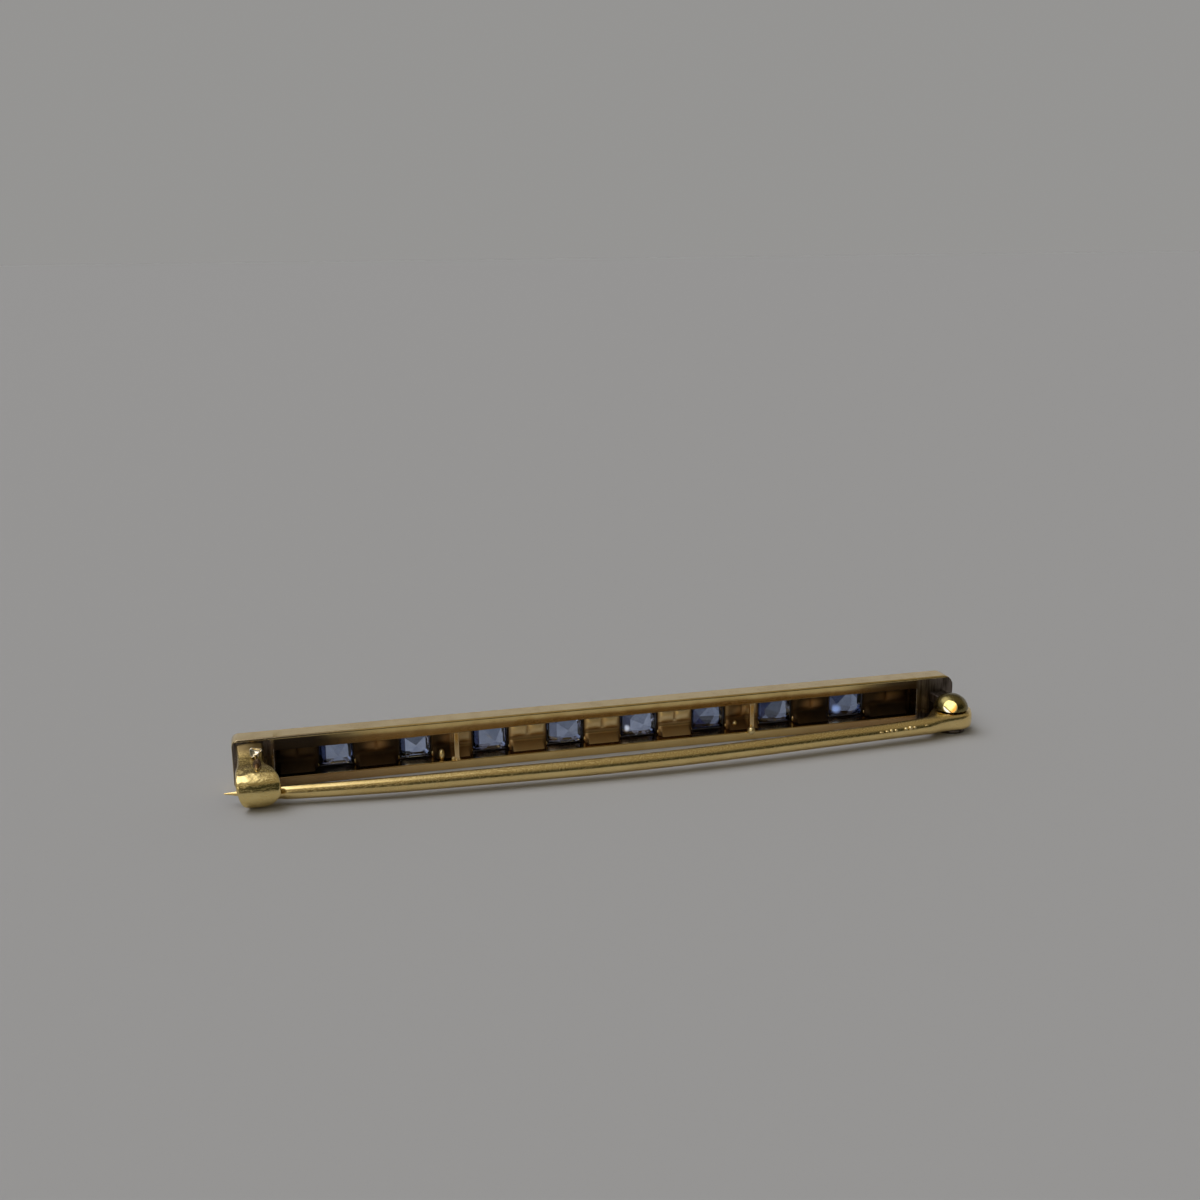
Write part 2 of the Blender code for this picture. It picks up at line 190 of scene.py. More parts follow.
def facing(towards, start, end):
    """0 for directions more than start degrees from this one, and 1 for those within end degrees."""
    sockets = {0: direction, 1: Vector(towards).normalized()}
    aligned = sky.node("ShaderNodeVectorMath", {"operation": "DOT_PRODUCT"}, sockets, "Value")
    return aligned.rise(math.cos(math.radians(start)), math.cos(math.radians(end)))


height = direction.axis("Z")
side = direction.axis("X")
far_side = direction.axis("Y").rise(-0.1, 0.5)
far = far_side * (1 - height.rise(0.32, 0.50))
cornice = far_side * height.rise(0.40, 0.52) * (1 - height.rise(0.60, 0.72))
near = (0.0 - direction.axis("Y")).rise(0.1, 0.5) * (1 - height.rise(0.38, 0.80)) * side.rise(-0.45, -0.15)
room = near.blend(far.blend(cornice.blend(UPPER_ROOM, CORNICE), FAR_WALL), DARK_SIDE)
skylight = facing(SKYLIGHT_TOWARDS, *SKYLIGHT_EDGE) * (1 - side.rise(-0.24, 0.10))
room = skylight.blend(room, SKYLIGHT)
room = facing(WINDOW_TOWARDS, *WINDOW_EDGE).blend(room, WINDOW)
seen_by_camera = sky.node("ShaderNodeLightPath", {}, {}, "Is Camera Ray")
sky_colour = seen_by_camera.blend(room, PALE_GREY)
background = sky.node("ShaderNodeBackground", {}, {"Color": sky_colour, "Strength": 1.0})
sky.node("ShaderNodeOutputWorld", {}, {"Surface": background})
bpy.context.scene.view_settings.view_transform = "Standard"

# The floor is one plain pale sheet, far wider than the view.
# It is matt, so that it only catches the soft shadow of the brooch.
FLOOR_HALF = 6.0
FLOOR_GREY = (0.547, 0.552, 0.565, 1.0)
builder = bmesh.new()
bmesh.ops.create_grid(builder, x_segments=1, y_segments=1, size=FLOOR_HALF)
floor_mesh = bpy.data.meshes.new("floor")
builder.to_mesh(floor_mesh)
builder.free()
floor = bpy.data.objects.new("floor", floor_mesh)
bpy.context.scene.collection.objects.link(floor)
floor_paint = bpy.data.materials.new("floor_paint")
floor_paint.use_nodes = True
floor_shader = floor_paint.node_tree.nodes["Principled BSDF"]
floor_shader.inputs["Base Color"].default_value = FLOOR_GREY
floor_shader.inputs["Roughness"].default_value = 0.9
floor_shader.inputs["Specular IOR Level"].default_value = 0.1
floor_mesh.materials.append(floor_paint)

# The bar is a slim gold channel: two rails and end blocks round an open back, with eight windows in its
# front. Its gold is old: satin on top, tarnished brown to black inside, with grey oxide on the end blocks.
# On its back faces part of the dark and grey is painted reflection.
BAR_LENGTH = 52.0
BAR_HEIGHT = 3.49
BAR_DEPTH = 1.70
UPPER_RAIL = 0.80
LOWER_RAIL = 0.62
CHANNEL_START = -23.31
CHANNEL_END = 23.05
CHANNEL_DEPTH = 1.21
END_CORNER = 0.45
WORN_CORNER = 0.80
BACK_EDGE = 0.13
FRONT_EDGE = 0.28
RAIL_EDGE = 0.07
FOOT_EDGE = 0.07
CHANNEL_CORNER = 0.05
ARC_STEPS = 5
BAR_STATIONS = 62
WAVE = 0.010
WAVELESS_END = 0.04
LEFT_LIP = 0.15
LIP_START = -3
LIP_FADE = 12
COLLET_RISE = 0.18
WINDOW_WALL = 0.05
WINDOW_FLARE = 0.03
STONE_FOOT = 0.08
bar_low, bar_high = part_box("bar_frame")
BAR_MIDDLE = bar_low.x / MM + BAR_LENGTH / 2
BACK_PLANE = bar_high.y / MM - BAR_DEPTH - COLLET_RISE


def from_builder(name, builder, sharp=35):
    """An object from a bmesh drawn in millimetres from the bar's middle, with its place in its mesh."""
    bmesh.ops.recalc_face_normals(builder, faces=builder.faces)
    bmesh.ops.translate(builder, vec=(BAR_MIDDLE, BACK_PLANE, 0), verts=builder.verts)
    bmesh.ops.scale(builder, vec=(MM, MM, MM), verts=builder.verts)
    mesh = bpy.data.meshes.new(name)
    builder.to_mesh(mesh)
    builder.free()
    mesh.shade_smooth()
    mesh.set_sharp_from_angle(angle=math.radians(sharp))
    made = bpy.data.objects.new(name, mesh)
    bpy.context.scene.collection.objects.link(made)
    return made


def loft(builder, rings):
    """Closed skin through rings of points, with both ends capped."""
    made = [[builder.verts.new(point) for point in ring] for ring in rings]
    count = len(made[0])
    for lower, upper in zip(made, made[1:]):
        for i in range(count):
            j = (i + 1) % count
            builder.faces.new((lower[i], lower[j], upper[j], upper[i]))
    builder.faces.new(list(reversed(made[0])))
    builder.faces.new(made[-1])


def rounded(corners, steps=ARC_STEPS):
    """A closed outline whose corners (a, b, radius) are rounded."""
    points = []
    for i, (a, b, radius) in enumerate(corners):
        here = Vector((a, b))
        before = Vector(corners[i - 1][:2]) - here
        after = Vector(corners[(i + 1) % len(corners)][:2]) - here
        half = before.angle(after) / 2
        reach = radius / math.tan(half)
        start = here + before.normalized() * reach
        end = here + after.normalized() * reach
        centre = here + (before.normalized() + after.normalized()).normalized() * radius / math.sin(half)
        for step in range(steps + 1):
            share = step / steps
            towards = (start - centre).lerp(end - centre, share).normalized()
            points.append(centre + towards * radius)
    return points


def carve(target, tool, operation):
    """Join one solid to another, or cut it out, and leave a plain mesh."""
    change = target.modifiers.new("carve", "BOOLEAN")
    change.operation = operation
    change.object = tool
    graph = bpy.context.evaluated_depsgraph_get()
    target.data = bpy.data.meshes.new_from_object(target.evaluated_get(graph))
    target.modifiers.clear()
    bpy.data.objects.remove(tool)


rail_top = BAR_HEIGHT - UPPER_RAIL
channel_profile = rounded((
    (0, BAR_HEIGHT, BACK_EDGE),
    (BAR_DEPTH, BAR_HEIGHT, FRONT_EDGE),
    (BAR_DEPTH, 0, FRONT_EDGE),
    (0, 0, FOOT_EDGE),
    (0, LOWER_RAIL, RAIL_EDGE),
    (CHANNEL_DEPTH, LOWER_RAIL, CHANNEL_CORNER),
    (CHANNEL_DEPTH, rail_top, CHANNEL_CORNER),
    (0, rail_top, RAIL_EDGE),
))
rings = []
for i in range(BAR_STATIONS + 1):
    share = i / BAR_STATIONS
    x = CHANNEL_START + (CHANNEL_END - CHANNEL_START) * share
    calm = min(share, 1 - share, WAVELESS_END) / WAVELESS_END
    ring = []
    for y, z in channel_profile:
        lean = noise.noise((x * 0.19, y * 0.3, z * 0.45)) * WAVE * calm
        lift = noise.noise((x * 0.23, y * 0.3, 9 + z * 0.45)) * WAVE * calm
        above_foot = min(z / BACK_EDGE, 1.0)
        lip = LEFT_LIP if abs(z - rail_top) < 0.1 else 0.0
        drop = lip * max(0.0, min(1.0, (LIP_START - x) / LIP_FADE))
        ring.append((x, y + lean, z + lift * above_foot - drop))
    rings.append(ring)
builder = bmesh.new()
loft(builder, rings)
bar = from_builder("bar_body", builder)


def end_outline(inset):
    """The bar's outline seen from the front, drawn in by an inset."""
    left = -BAR_LENGTH / 2 + inset
    right = BAR_LENGTH / 2 - inset
    radius = END_CORNER - inset
    return rounded((
        (left, inset, radius),
        (right, inset, radius),
        (right, BAR_HEIGHT - inset, WORN_CORNER - inset),
        (left, BAR_HEIGHT - inset, radius),
    ))


def box(low, high):
    """A plain block as a bmesh."""
    block = bmesh.new()
    corners = ((low[0], low[1]), (high[0], low[1]), (high[0], high[1]), (low[0], high[1]))
    loft(block, [[(x, y, z) for x, y in corners] for z in (low[2], high[2])])
    return block


levels = []
for step in range(ARC_STEPS + 1):
    turn = math.pi / 2 * step / ARC_STEPS
    levels.append((BACK_EDGE * (1 - math.cos(turn)), BACK_EDGE * (1 - math.sin(turn))))
for step in range(ARC_STEPS + 1):
    turn = math.pi / 2 * step / ARC_STEPS
    levels.append((BAR_DEPTH - FRONT_EDGE * (1 - math.sin(turn)), FRONT_EDGE * (1 - math.cos(turn))))
builder = bmesh.new()
loft(builder, [[(x, y, z) for x, z in end_outline(inset)] for y, inset in levels])
ends = from_builder("bar_ends", builder)
between = box((CHANNEL_START, -1, -1), (CHANNEL_END, BAR_DEPTH + 1, BAR_HEIGHT + 1))
carve(ends, from_builder("between_ends", between), "DIFFERENCE")
carve(bar, ends, "UNION")

# Each window is sized to its stone. Its wall is cut straight, with a small bevel on its inner edge.
STONE_COUNT = 8
stone_boxes = [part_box(f"sapphire_{i + 1}") for i in range(STONE_COUNT)]
windows = []
for stone_low, stone_high in stone_boxes:
    left = stone_low.x / MM - BAR_MIDDLE - WINDOW_WALL
    right = stone_high.x / MM - BAR_MIDDLE + WINDOW_WALL
    foot = stone_low.z / MM - STONE_FOOT - WINDOW_WALL
    head = stone_high.z / MM + WINDOW_WALL
    windows.append((left, right, foot, head))
for left, right, foot, head in windows:
    builder = bmesh.new()
    rings = []
    for y, flare in (
        (CHANNEL_DEPTH - 0.2, WINDOW_FLARE),
        (CHANNEL_DEPTH, WINDOW_FLARE),
        (CHANNEL_DEPTH + WINDOW_FLARE, 0),
        (BAR_DEPTH + 1, 0),
    ):
        rings.append([
            (left - flare, y, foot - flare),
            (right + flare, y, foot - flare),
            (right + flare, y, head + flare),
            (left - flare, y, head + flare),
        ])
    loft(builder, rings)
    carve(bar, from_builder("window_cut", builder), "DIFFERENCE")
bar.data.shade_smooth()
bar.data.set_sharp_from_angle(angle=math.radians(32))
even = bar.modifiers.new("even", "WEIGHTED_NORMAL")
even.keep_sharp = True
bar.data = bpy.data.meshes.new_from_object(bar.evaluated_get(bpy.context.evaluated_depsgraph_get()))
bar.modifiers.clear()


def gold(name, clean, shade, roughness, along="X", wear=1.0, dents=0.3, tarnish_and_painted_light=None, hammered=None):
    """Old gold: fine scratches along one axis, soft dents, and coats of tarnish and of painted light and
    shade, each a mask and a colour.
    """
    finish = bpy.data.materials.new(name)
    finish.use_nodes = True
    tree = finish.node_tree
    shader = tree.nodes["Principled BSDF"]
    start = Wire(tree)
    place = start.node("ShaderNodeTexCoord", {}, {}, "Object").stretched(1000, 1000, 1000)
    stretch = {"X": (0.35, 9, 9), "Y": (9, 0.35, 9), "Z": (9, 9, 0.35)}[along]
    long_lines = place.stretched(*stretch).cloud(1.6, 3, 0.6)
    cross_lines = place.stretched(6, 1.2, 4).cloud(2.3, 2, 0.5)
    patches = place.cloud(0.55, 3, 0.6)
    grain = place.cloud(14, 2, 0.6)
    scratch = (1 - abs(long_lines - 0.5).rise(0.0, 0.03)) * patches.rise(0.40, 0.62)
    nick = (1 - abs(cross_lines - 0.52).rise(0.0, 0.02)) * patches.rise(0.60, 0.42)
    marks = (scratch + nick * 0.7) * wear
    colour = patches.rise(0.3, 0.75).blend((*clean, 1), (*shade, 1))
    colour = (grain.rise(0.55, 0.8) * 0.3).blend(colour, (*[c * 0.72 for c in clean], 1))
    rough = roughness + patches * 0.05 + marks * 0.10 + grain * 0.04
    for mask, film in tarnish_and_painted_light(place, patches) if tarnish_and_painted_light else ():
        colour = mask.blend(colour, (*film, 1))
        rough = rough + mask * 0.08
    tree.links.new(colour.socket, shader.inputs["Base Color"])
    tree.links.new(rough.socket, shader.inputs["Roughness"])
    shader.inputs["Metallic"].default_value = 1.0
    relief = patches * dents + grain * 0.03 * wear - marks * 0.10
    if hammered:
        relief = relief + place.cloud(1.3, 2, 0.5) * hammered(place)
    settings = {"Strength": 0.35, "Distance": 0.02 * MM, "Height": relief}
    bump = start.node("ShaderNodeBump", {}, settings, "Normal")
    tree.links.new(bump.socket, shader.inputs["Normal"])
    return finish


UMBER = (0.24, 0.115, 0.035)
RUST = (0.50, 0.30, 0.14)
BLACK_OXIDE = (0.040, 0.028, 0.018)
GREY_OXIDE = (0.20, 0.165, 0.14)


def bar_tarnish_and_painted_reflection(place, patches):
    """Umber inside, reddish on the lower rail, black towards both ends, grey on the end blocks; on the back
    faces part is painted reflection.
    """
    x = place.axis("X") - BAR_MIDDLE
    deep = place.axis("Y") - BACK_PLANE
    z = place.axis("Z")
    streaks = place.stretched(2.2, 2.2, 0.25).cloud(1.5, 3, 0.6)
    uneven = 0.75 + patches * 0.5
    block_left = 1 - x.rise(-23.6, -23.2)
    block_right = x.rise(22.9, 23.3)
    blocks = block_left.either(block_right)
    within = z.rise(0.30, 0.45) * (1 - z.rise(2.85, 3.0)) * (1 - blocks)
    inside = deep.rise(0.05, 0.35) * (1 - deep.rise(BAR_DEPTH - 0.12, BAR_DEPTH - 0.04)) * within
    top_bevel = (1 - deep.rise(0.09, 0.14)) * z.rise(BAR_HEIGHT - 0.14, BAR_HEIGHT - 0.12)
    round_windows = inside * deep.rise(CHANNEL_DEPTH - 0.07, CHANNEL_DEPTH - 0.03)
    back_face = (1 - deep.rise(0.02, 0.10)) * (1 - z.rise(BAR_HEIGHT - 0.2, BAR_HEIGHT - 0.1))
    left = 1 - (x + patches * 3).rise(-19.5, -14.0)
    right = (x - patches * 3).rise(15.5, 21.0)
    painted_pin_reflection = back_face * z.rise(2.2, 2.3) * (1 - (z - patches * 0.2).rise(2.85, 3.15))
    lower = back_face * (1 - z.rise(0.7, 0.8))
    lower_left = 1 - (x + patches * 5).rise(-18, -5)
    lower_right = (x - patches * 4).rise(8, 17)
    return (
        (inside * 0.85 * uneven, UMBER),
        # Painted reflection: the umber on the lower part of the upper rail's back face stands in for its
        # dark reflection of the pin and its shadow.
        (painted_pin_reflection * 0.75 * uneven, UMBER),
        (lower * (0.18 + lower_left.either(lower_right) * 0.65) * uneven, RUST),
        ((inside * left.either(right * 0.8)).both(1.0), BLACK_OXIDE),
        (round_windows * 0.92, BLACK_OXIDE),
        (top_bevel * (0.05 + left * 0.70), GREY_OXIDE),
        # On the back faces the black and umber towards both ends are partly tarnish and partly painted dark
        # reflection of the pin's shadow.
        (back_face * left * z.rise(1.0, 1.2) * (1 - block_left), BLACK_OXIDE),
        (back_face * right * z.rise(1.0, 1.2) * 0.6, UMBER),
        (back_face * x.rise(16.5, 21.5) * z.rise(1.0, 1.2) * 0.88, BLACK_OXIDE),
        (lower * left * 0.25, BLACK_OXIDE),
        # The grey on the end blocks' back faces is partly oxide and partly painted reflection of the dark
        # side behind the camera.
        (back_face * blocks, GREY_OXIDE),
        (back_face * blocks * streaks.rise(0.42, 0.62) * 0.8, BLACK_OXIDE),
    )


OLD_GOLD = (0.90, 0.68, 0.30)
OLD_GOLD_SHADE = (0.80, 0.58, 0.23)
bar_gold = gold("bar_gold", OLD_GOLD, OLD_GOLD_SHADE, 0.11, dents=0.15, tarnish_and_painted_light=bar_tarnish_and_painted_reflection)
bar.data.materials.clear()
bar.data.materials.append(bar_gold)
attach(bar, "brooch")
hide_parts("bar_frame")

# Closed gold panels lie between the windows. Each is one thin sheet, dished twice from the front,
# so that two low cushions and a fold show on its back.
PANEL_FOOT = LOWER_RAIL + 0.02
PANEL_HEAD = rail_top - 0.04
PANEL_SUNK = 0.06
PANEL_FOLD = 0.42
PANEL_SKIRT = 0.34
PANEL_COLUMNS = 26
PANEL_ROWS = 30
PANEL_MARGIN = 0.12
RUSSET = (0.42, 0.19, 0.05)


def panel_rise(across, up):
    """How far the dished panel stands out at a place on it, each from 0 to 1: two cushions that slope out
    towards a fold, a plain lower part, and a skirt that runs out along the shelf."""
    edge = min(across, 1 - across, 0.08) / 0.08
    round_up = math.sin(math.pi * max(up - PANEL_FOLD, 0) / (1 - PANEL_FOLD)) ** 0.8
    round_across = abs(math.sin(2 * math.pi * across)) ** 0.5
    cushion = 0.05 + 0.15 * round_up * round_across
    above = 1 / (1 + math.exp((PANEL_FOLD - up) / 0.02))
    lower = 0.05 + 0.62 * max(PANEL_SKIRT - up, 0) / PANEL_SKIRT
    return max(edge, 0.35) * (cushion * above + lower * (1 - above))


gaps = [CHANNEL_START + PANEL_MARGIN]
for left, right, foot, head in windows:
    gaps += [left - PANEL_MARGIN, right + PANEL_MARGIN]
gaps.append(CHANNEL_END - PANEL_MARGIN)
builder = bmesh.new()
sheet_map = builder.loops.layers.uv.new("sheet")
for left, right in zip(gaps[0::2], gaps[1::2]):
    grid = []
    sheet_place = {}
    for row in range(PANEL_ROWS + 1):
        up = row / PANEL_ROWS
        z = PANEL_FOOT + (PANEL_HEAD - PANEL_FOOT) * up
        line = []
        for column in range(PANEL_COLUMNS + 1):
            across = column / PANEL_COLUMNS
            x = left + (right - left) * across
            sway = noise.noise((x * 1.1, 3.1, z * 0.8)) * 0.012
            y = CHANNEL_DEPTH - panel_rise(across, up) + sway
            corner = builder.verts.new((x, y, z))
            sheet_place[corner] = (across, up)
            line.append(corner)
        grid.append(line)
    for row in range(PANEL_ROWS):
        for column in range(PANEL_COLUMNS):
            face = builder.faces.new((
                grid[row][column], grid[row][column + 1], grid[row + 1][column + 1], grid[row + 1][column],
            ))
            for loop in face.loops:
                loop[sheet_map].uv = sheet_place[loop.vert]
    rim = grid[0] + [line[-1] for line in grid[1:]] + grid[-1][-2::-1] + [line[0] for line in grid[-2:0:-1]]
    back = [builder.verts.new((corner.co.x, CHANNEL_DEPTH + PANEL_SUNK, corner.co.z)) for corner in rim]
    for i in range(len(rim)):
        j = (i + 1) % len(rim)
        builder.faces.new((rim[j], rim[i], back[i], back[j]))
    builder.faces.new(back)
panels = from_builder("panels", builder, sharp=50)


def panel_tarnish_and_painted_shade(place, patches):
    """Painted shade in the fold, between the two cushions, round their edges and on the lower part's dark
    reflection; black towards both ends, with a painted sheen left in the middle of each, most in the end
    ones.
    """
    sheet = place.node("ShaderNodeUVMap", {"uv_map": "sheet"}, {})
    across = sheet.axis("X")
    up = sheet.axis("Y")
    x = place.axis("X") - BAR_MIDDLE
    left = 1 - (x + patches * 3).rise(-13, -7)
    right = (x - patches * 3).rise(8, 13)
    # Painted shade: the umber lies in the fold, in the crease between the two cushions, and on the lower
    # part for its dark reflection of the pin's shadow. A narrow band below the fold is left lighter, as
    # painted light.
    fold_shade = 1 - abs(up - PANEL_FOLD + 0.01).rise(0.02, 0.08)
    lit_band = 1 - abs(up - PANEL_FOLD + 0.12).rise(0.0, 0.03)
    middle = (1 - abs(across - 0.5).rise(0.0, 0.09)) * up.rise(PANEL_FOLD + 0.04, PANEL_FOLD + 0.10)
    low_shade = 1 - up.rise(PANEL_FOLD - 0.04, PANEL_FOLD + 0.04)
    # Painted shade round the edges of each cushion, so that its middle reads as rounded and lit.
    cushion_edge_shade = abs(across - 0.5).rise(0.42, 0.49).either(up.rise(0.90, 0.98))
    warm = x.rise(-20.9, -20.7) * (1 - x.rise(19.0, 19.4) * 0.6)
    # A painted sheen in the middle of each panel is kept clear of the black, most in the two end panels.
    painted_glow = (1 - abs(across - 0.5).rise(0.05, 0.38)) * (1 - abs(up - 0.62).rise(0.05, 0.28))
    painted_glow = painted_glow * (0.08 + warm * 0.7)
    by_stays = x.rise(-13.0, -12.6) * (1 - x.rise(-11.6, -11.3))
    by_stays = by_stays.either(x.rise(8.5, 8.8) * (1 - x.rise(9.9, 10.2)) * 0.75)
    ends = left.either(right).either(by_stays)
    return (
        ((fold_shade * 0.75).either(middle * 0.45).either(low_shade * (0.72 - lit_band * 0.4)), UMBER),
        (cushion_edge_shade * 0.7, UMBER),
        (ends * 0.8, RUSSET),
        (ends * (1 - painted_glow) * (0.80 + patches * 0.3), BLACK_OXIDE),
    )


panel_gold = gold("panel_gold", (1.0, 0.80, 0.44), (0.92, 0.68, 0.33), 0.28, wear=0.3, tarnish_and_painted_light=panel_tarnish_and_painted_shade)
panels.data.materials.append(panel_gold)
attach(panels, "brooch")
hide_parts("bar_frame")

# Eight sapphires, cut square with stepped sides, sit in the windows. Their tables face the front.
# Seen from the back, each shows a shallow four-sided pavilion, and no two are cut quite alike.
PAVILION_TIP = 0.04
PAVILION_BASE = 0.20
GIRDLE_LOW = 0.50
GIRDLE_HIGH = 0.61
CROWN_RINGS = ((0.80, 0.15), (1.00, 0.36))
GIRDLE_CORNER = 0.10
CLEAR_BLUE = (0.66, 0.68, 0.79)
TABLE_BLUE = (0.70, 0.82, 1.0)
NAVY = (0.06, 0.075, 0.17)
StoneCut = namedtuple("StoneCut", "tip_x tip_z left right top low corner")
STONE_CUTS = (
    StoneCut(0.10, -0.20, 0.40, 0.12, 0.10, 0.12, 0.12),
    StoneCut(0.05, 0.05, 0.34, 0.10, 0.22, 0.06, 0.14),
    StoneCut(0.30, -0.20, 0.36, 0.14, 0.08, 0.08, 0.20),
    StoneCut(0.15, 0.10, 0.62, 0.12, 0.08, 0.08, 0.20),
    StoneCut(0.25, 0.00, 0.62, 0.12, 0.08, 0.08, 0.42),
    StoneCut(0.35, 0.15, 0.46, 0.14, 0.08, 0.22, 0.70),
    StoneCut(0.20, -0.10, 0.40, 0.12, 0.12, 0.14, 0.55),
    StoneCut(0.25, -0.15, 0.50, 0.14, 0.10, 0.10, 0.75),
)
StoneTone = namedtuple("StoneTone", "shade right top left low side_right side_top side_left side_low "
                                    "tip_rt tip_lt tip_ll tip_rl")
# Each facet's tone is painted light and shade: it stands for light that passes through the stone or is
# thrown back inside it, dark navy near 0 on the sides and tips.
STONE_TONES = (
    StoneTone(0.93, 1.00, 0.97, 1.02, 1.05, 0.1, 0.6, 0.04, 0.5, 0.4, 0.2, 0.8, 0.3),
    StoneTone(1.15, 0.96, 0.45, 1.08, 1.00, 0.4, 0.00, 0.10, 1.0, 0.3, 0.0, 0.9, 0.9),
    StoneTone(1.01, 1.10, 0.80, 0.93, 0.86, 0.1, 0.7, 0.08, 0.8, 0.9, 0.5, 0.2, 0.1),
    StoneTone(0.95, 0.98, 0.80, 1.12, 0.90, 0.1, 0.5, 0.50, 0.8, 0.0, 0.4, 0.9, 0.1),
    StoneTone(1.06, 1.06, 0.84, 1.10, 0.94, 0.1, 0.6, 0.05, 0.8, 0.3, 0.3, 0.4, 0.0),
    StoneTone(0.93, 1.14, 1.02, 0.25, 0.85, 0.1, 0.8, 0.05, 0.0, 0.8, 0.5, 0.0, 0.3),
    StoneTone(0.75, 1.22, 0.62, 0.38, 1.05, 0.1, 0.1, 0.10, 0.5, 0.5, 0.0, 0.9, 0.3),
    StoneTone(0.95, 1.05, 0.84, 0.60, 0.95, 0.1, 0.5, 0.15, 0.7, 0.4, 0.1, 0.4, 0.3),
)
FACETS = ("rt", "top", "lt", "left", "ll", "low", "rl", "right")
PAVILION_SIDES = ("right", "top", "top", "left", "left", "low", "low", "right")
# Two stones have a painted glint near one corner, a soft light their surface gives off, measured from the
# stone's left and foot.
Glint = namedtuple("Glint", "stone across up radius colour")
GLINTS = (
    Glint(5, 0.36, 0.62, 0.33, (0.44, 0.47, 0.54)),
    Glint(8, 0.46, 0.56, 0.50, (0.15, 0.22, 0.42)),
)
GLINT_DEPTH = 0.40


def blue_stone():
    """Clear grey-blue corundum with fine silk inside: facet colours hold painted inner light and shade, and
    two stones give off a painted glint.
    """
    finish = bpy.data.materials.new("blue_stone")
    finish.use_nodes = True
    tree = finish.node_tree
    shader = tree.nodes["Principled BSDF"]
    place = Wire(tree).node("ShaderNodeTexCoord", {}, {}, "Object").stretched(1000, 1000, 1000)
    silk = place.cloud(1.8, 4, 0.65)
    facet = place.node("ShaderNodeAttribute", {"attribute_name": "facet"}, {}, "Color")
    colour = silk.rise(0.30, 0.70).blend((0.72, 0.75, 0.82, 1), (1.0, 1.0, 1.0, 1)).tinted(facet)
    tree.links.new(colour.socket, shader.inputs["Base Color"])
    painted_glint_light = (0.0, 0.0, 0.0, 1.0)
    for glint in GLINTS:
        low, high = stone_boxes[glint.stone - 1]
        x = place.axis("X") - (low.x / MM + glint.across)
        z = place.axis("Z") - (low.z / MM - STONE_FOOT + glint.up)
        deep = low.y / MM + GLINT_DEPTH
        behind = 1 - place.axis("Y").rise(deep - 0.05, deep + 0.05)
        spot = 1 - ((x * x + z * z) ** 0.5).rise(glint.radius * 0.2, glint.radius)
        painted_glint_light = (spot * behind).blend(painted_glint_light, (*glint.colour, 1.0))
    tree.links.new(painted_glint_light.socket, shader.inputs["Emission Color"])
    shader.inputs["Emission Strength"].default_value = 1.0
    shader.inputs["Roughness"].default_value = 0.03
    shader.inputs["IOR"].default_value = 1.77
    shader.inputs["Transmission Weight"].default_value = 1.0
    return finish


def painted_facet_light(tone, ring, k):
    """The colour of facet k between two rings, painted with the stone's inner light and shade: clear on the
    pavilion, dark navy on the steep sides.
    """
    if ring == 0:
        share = tone.shade * getattr(tone, PAVILION_SIDES[k])
        seen = [c * share for c in CLEAR_BLUE]
    elif ring == 1:
        kind = "side_" if FACETS[k] in PAVILION_SIDES else "tip_"
        share = tone.shade * getattr(tone, kind + FACETS[k])
        seen = [n + (c - n) * share for n, c in zip(NAVY, CLEAR_BLUE)]
    else:
        seen = TABLE_BLUE
    return [min(c, 1.0) ** 2 for c in seen]


def square_ring(left, right, low, top, cut, depth):
    """Eight corners of a rectangle whose corners are cut off."""
    flat = (
        (right, top - cut), (right - cut, top), (left + cut, top), (left, top - cut),
        (left, low + cut), (left + cut, low), (right - cut, low), (right, low + cut),
    )
    return [(x, depth, z) for x, z in flat]


sapphire = blue_stone()
for i, (low, high) in enumerate(stone_boxes):
    cut = STONE_CUTS[i]
    tone = STONE_TONES[i]
    left = low.x / MM - BAR_MIDDLE
    right = high.x / MM - BAR_MIDDLE
    foot = low.z / MM - STONE_FOOT
    head = high.z / MM
    middle_x = (left + right) / 2 + cut.tip_x
    middle_z = (foot + head) / 2 + cut.tip_z
    back = low.y / MM - BACK_PLANE
    deep = (high.y - low.y) / MM
    tip = PAVILION_TIP
    rings = [
        square_ring(middle_x - tip, middle_x + tip, middle_z - tip, middle_z + tip, tip * 0.4, back),
        square_ring(left + cut.left, right - cut.right, foot + cut.low, head - cut.top, cut.corner,
                    back + deep * PAVILION_BASE),
        square_ring(left, right, foot, head, GIRDLE_CORNER, back + deep * GIRDLE_LOW),
        square_ring(left, right, foot, head, GIRDLE_CORNER, back + deep * GIRDLE_HIGH),
    ]
    for depth, inset in CROWN_RINGS:
        rings.append(square_ring(left + inset, right - inset, foot + inset, head - inset, GIRDLE_CORNER,
                                 back + deep * depth))
    builder = bmesh.new()
    facets = builder.loops.layers.float_color.new("facet")
    made = [[builder.verts.new(corner) for corner in ring] for ring in rings]
    faces = []
    for ring, (lower, upper) in enumerate(zip(made, made[1:])):
        for k in range(len(FACETS)):
            j = (k + 1) % len(FACETS)
            faces.append((builder.faces.new((lower[k], lower[j], upper[j], upper[k])), ring, k))
    faces.append((builder.faces.new(made[0][::-1]), 0, 7))
    faces.append((builder.faces.new(made[-1]), len(rings), 7))
    for face, ring, k in faces:
        for loop in face.loops:
            loop[facets] = (*painted_facet_light(tone, ring, k), 1)
    stone = from_builder(f"stone_{i + 1}", builder, sharp=1)
    stone.data.materials.append(sapphire)
    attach(stone, "brooch")
    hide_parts(f"sapphire_{i + 1}")

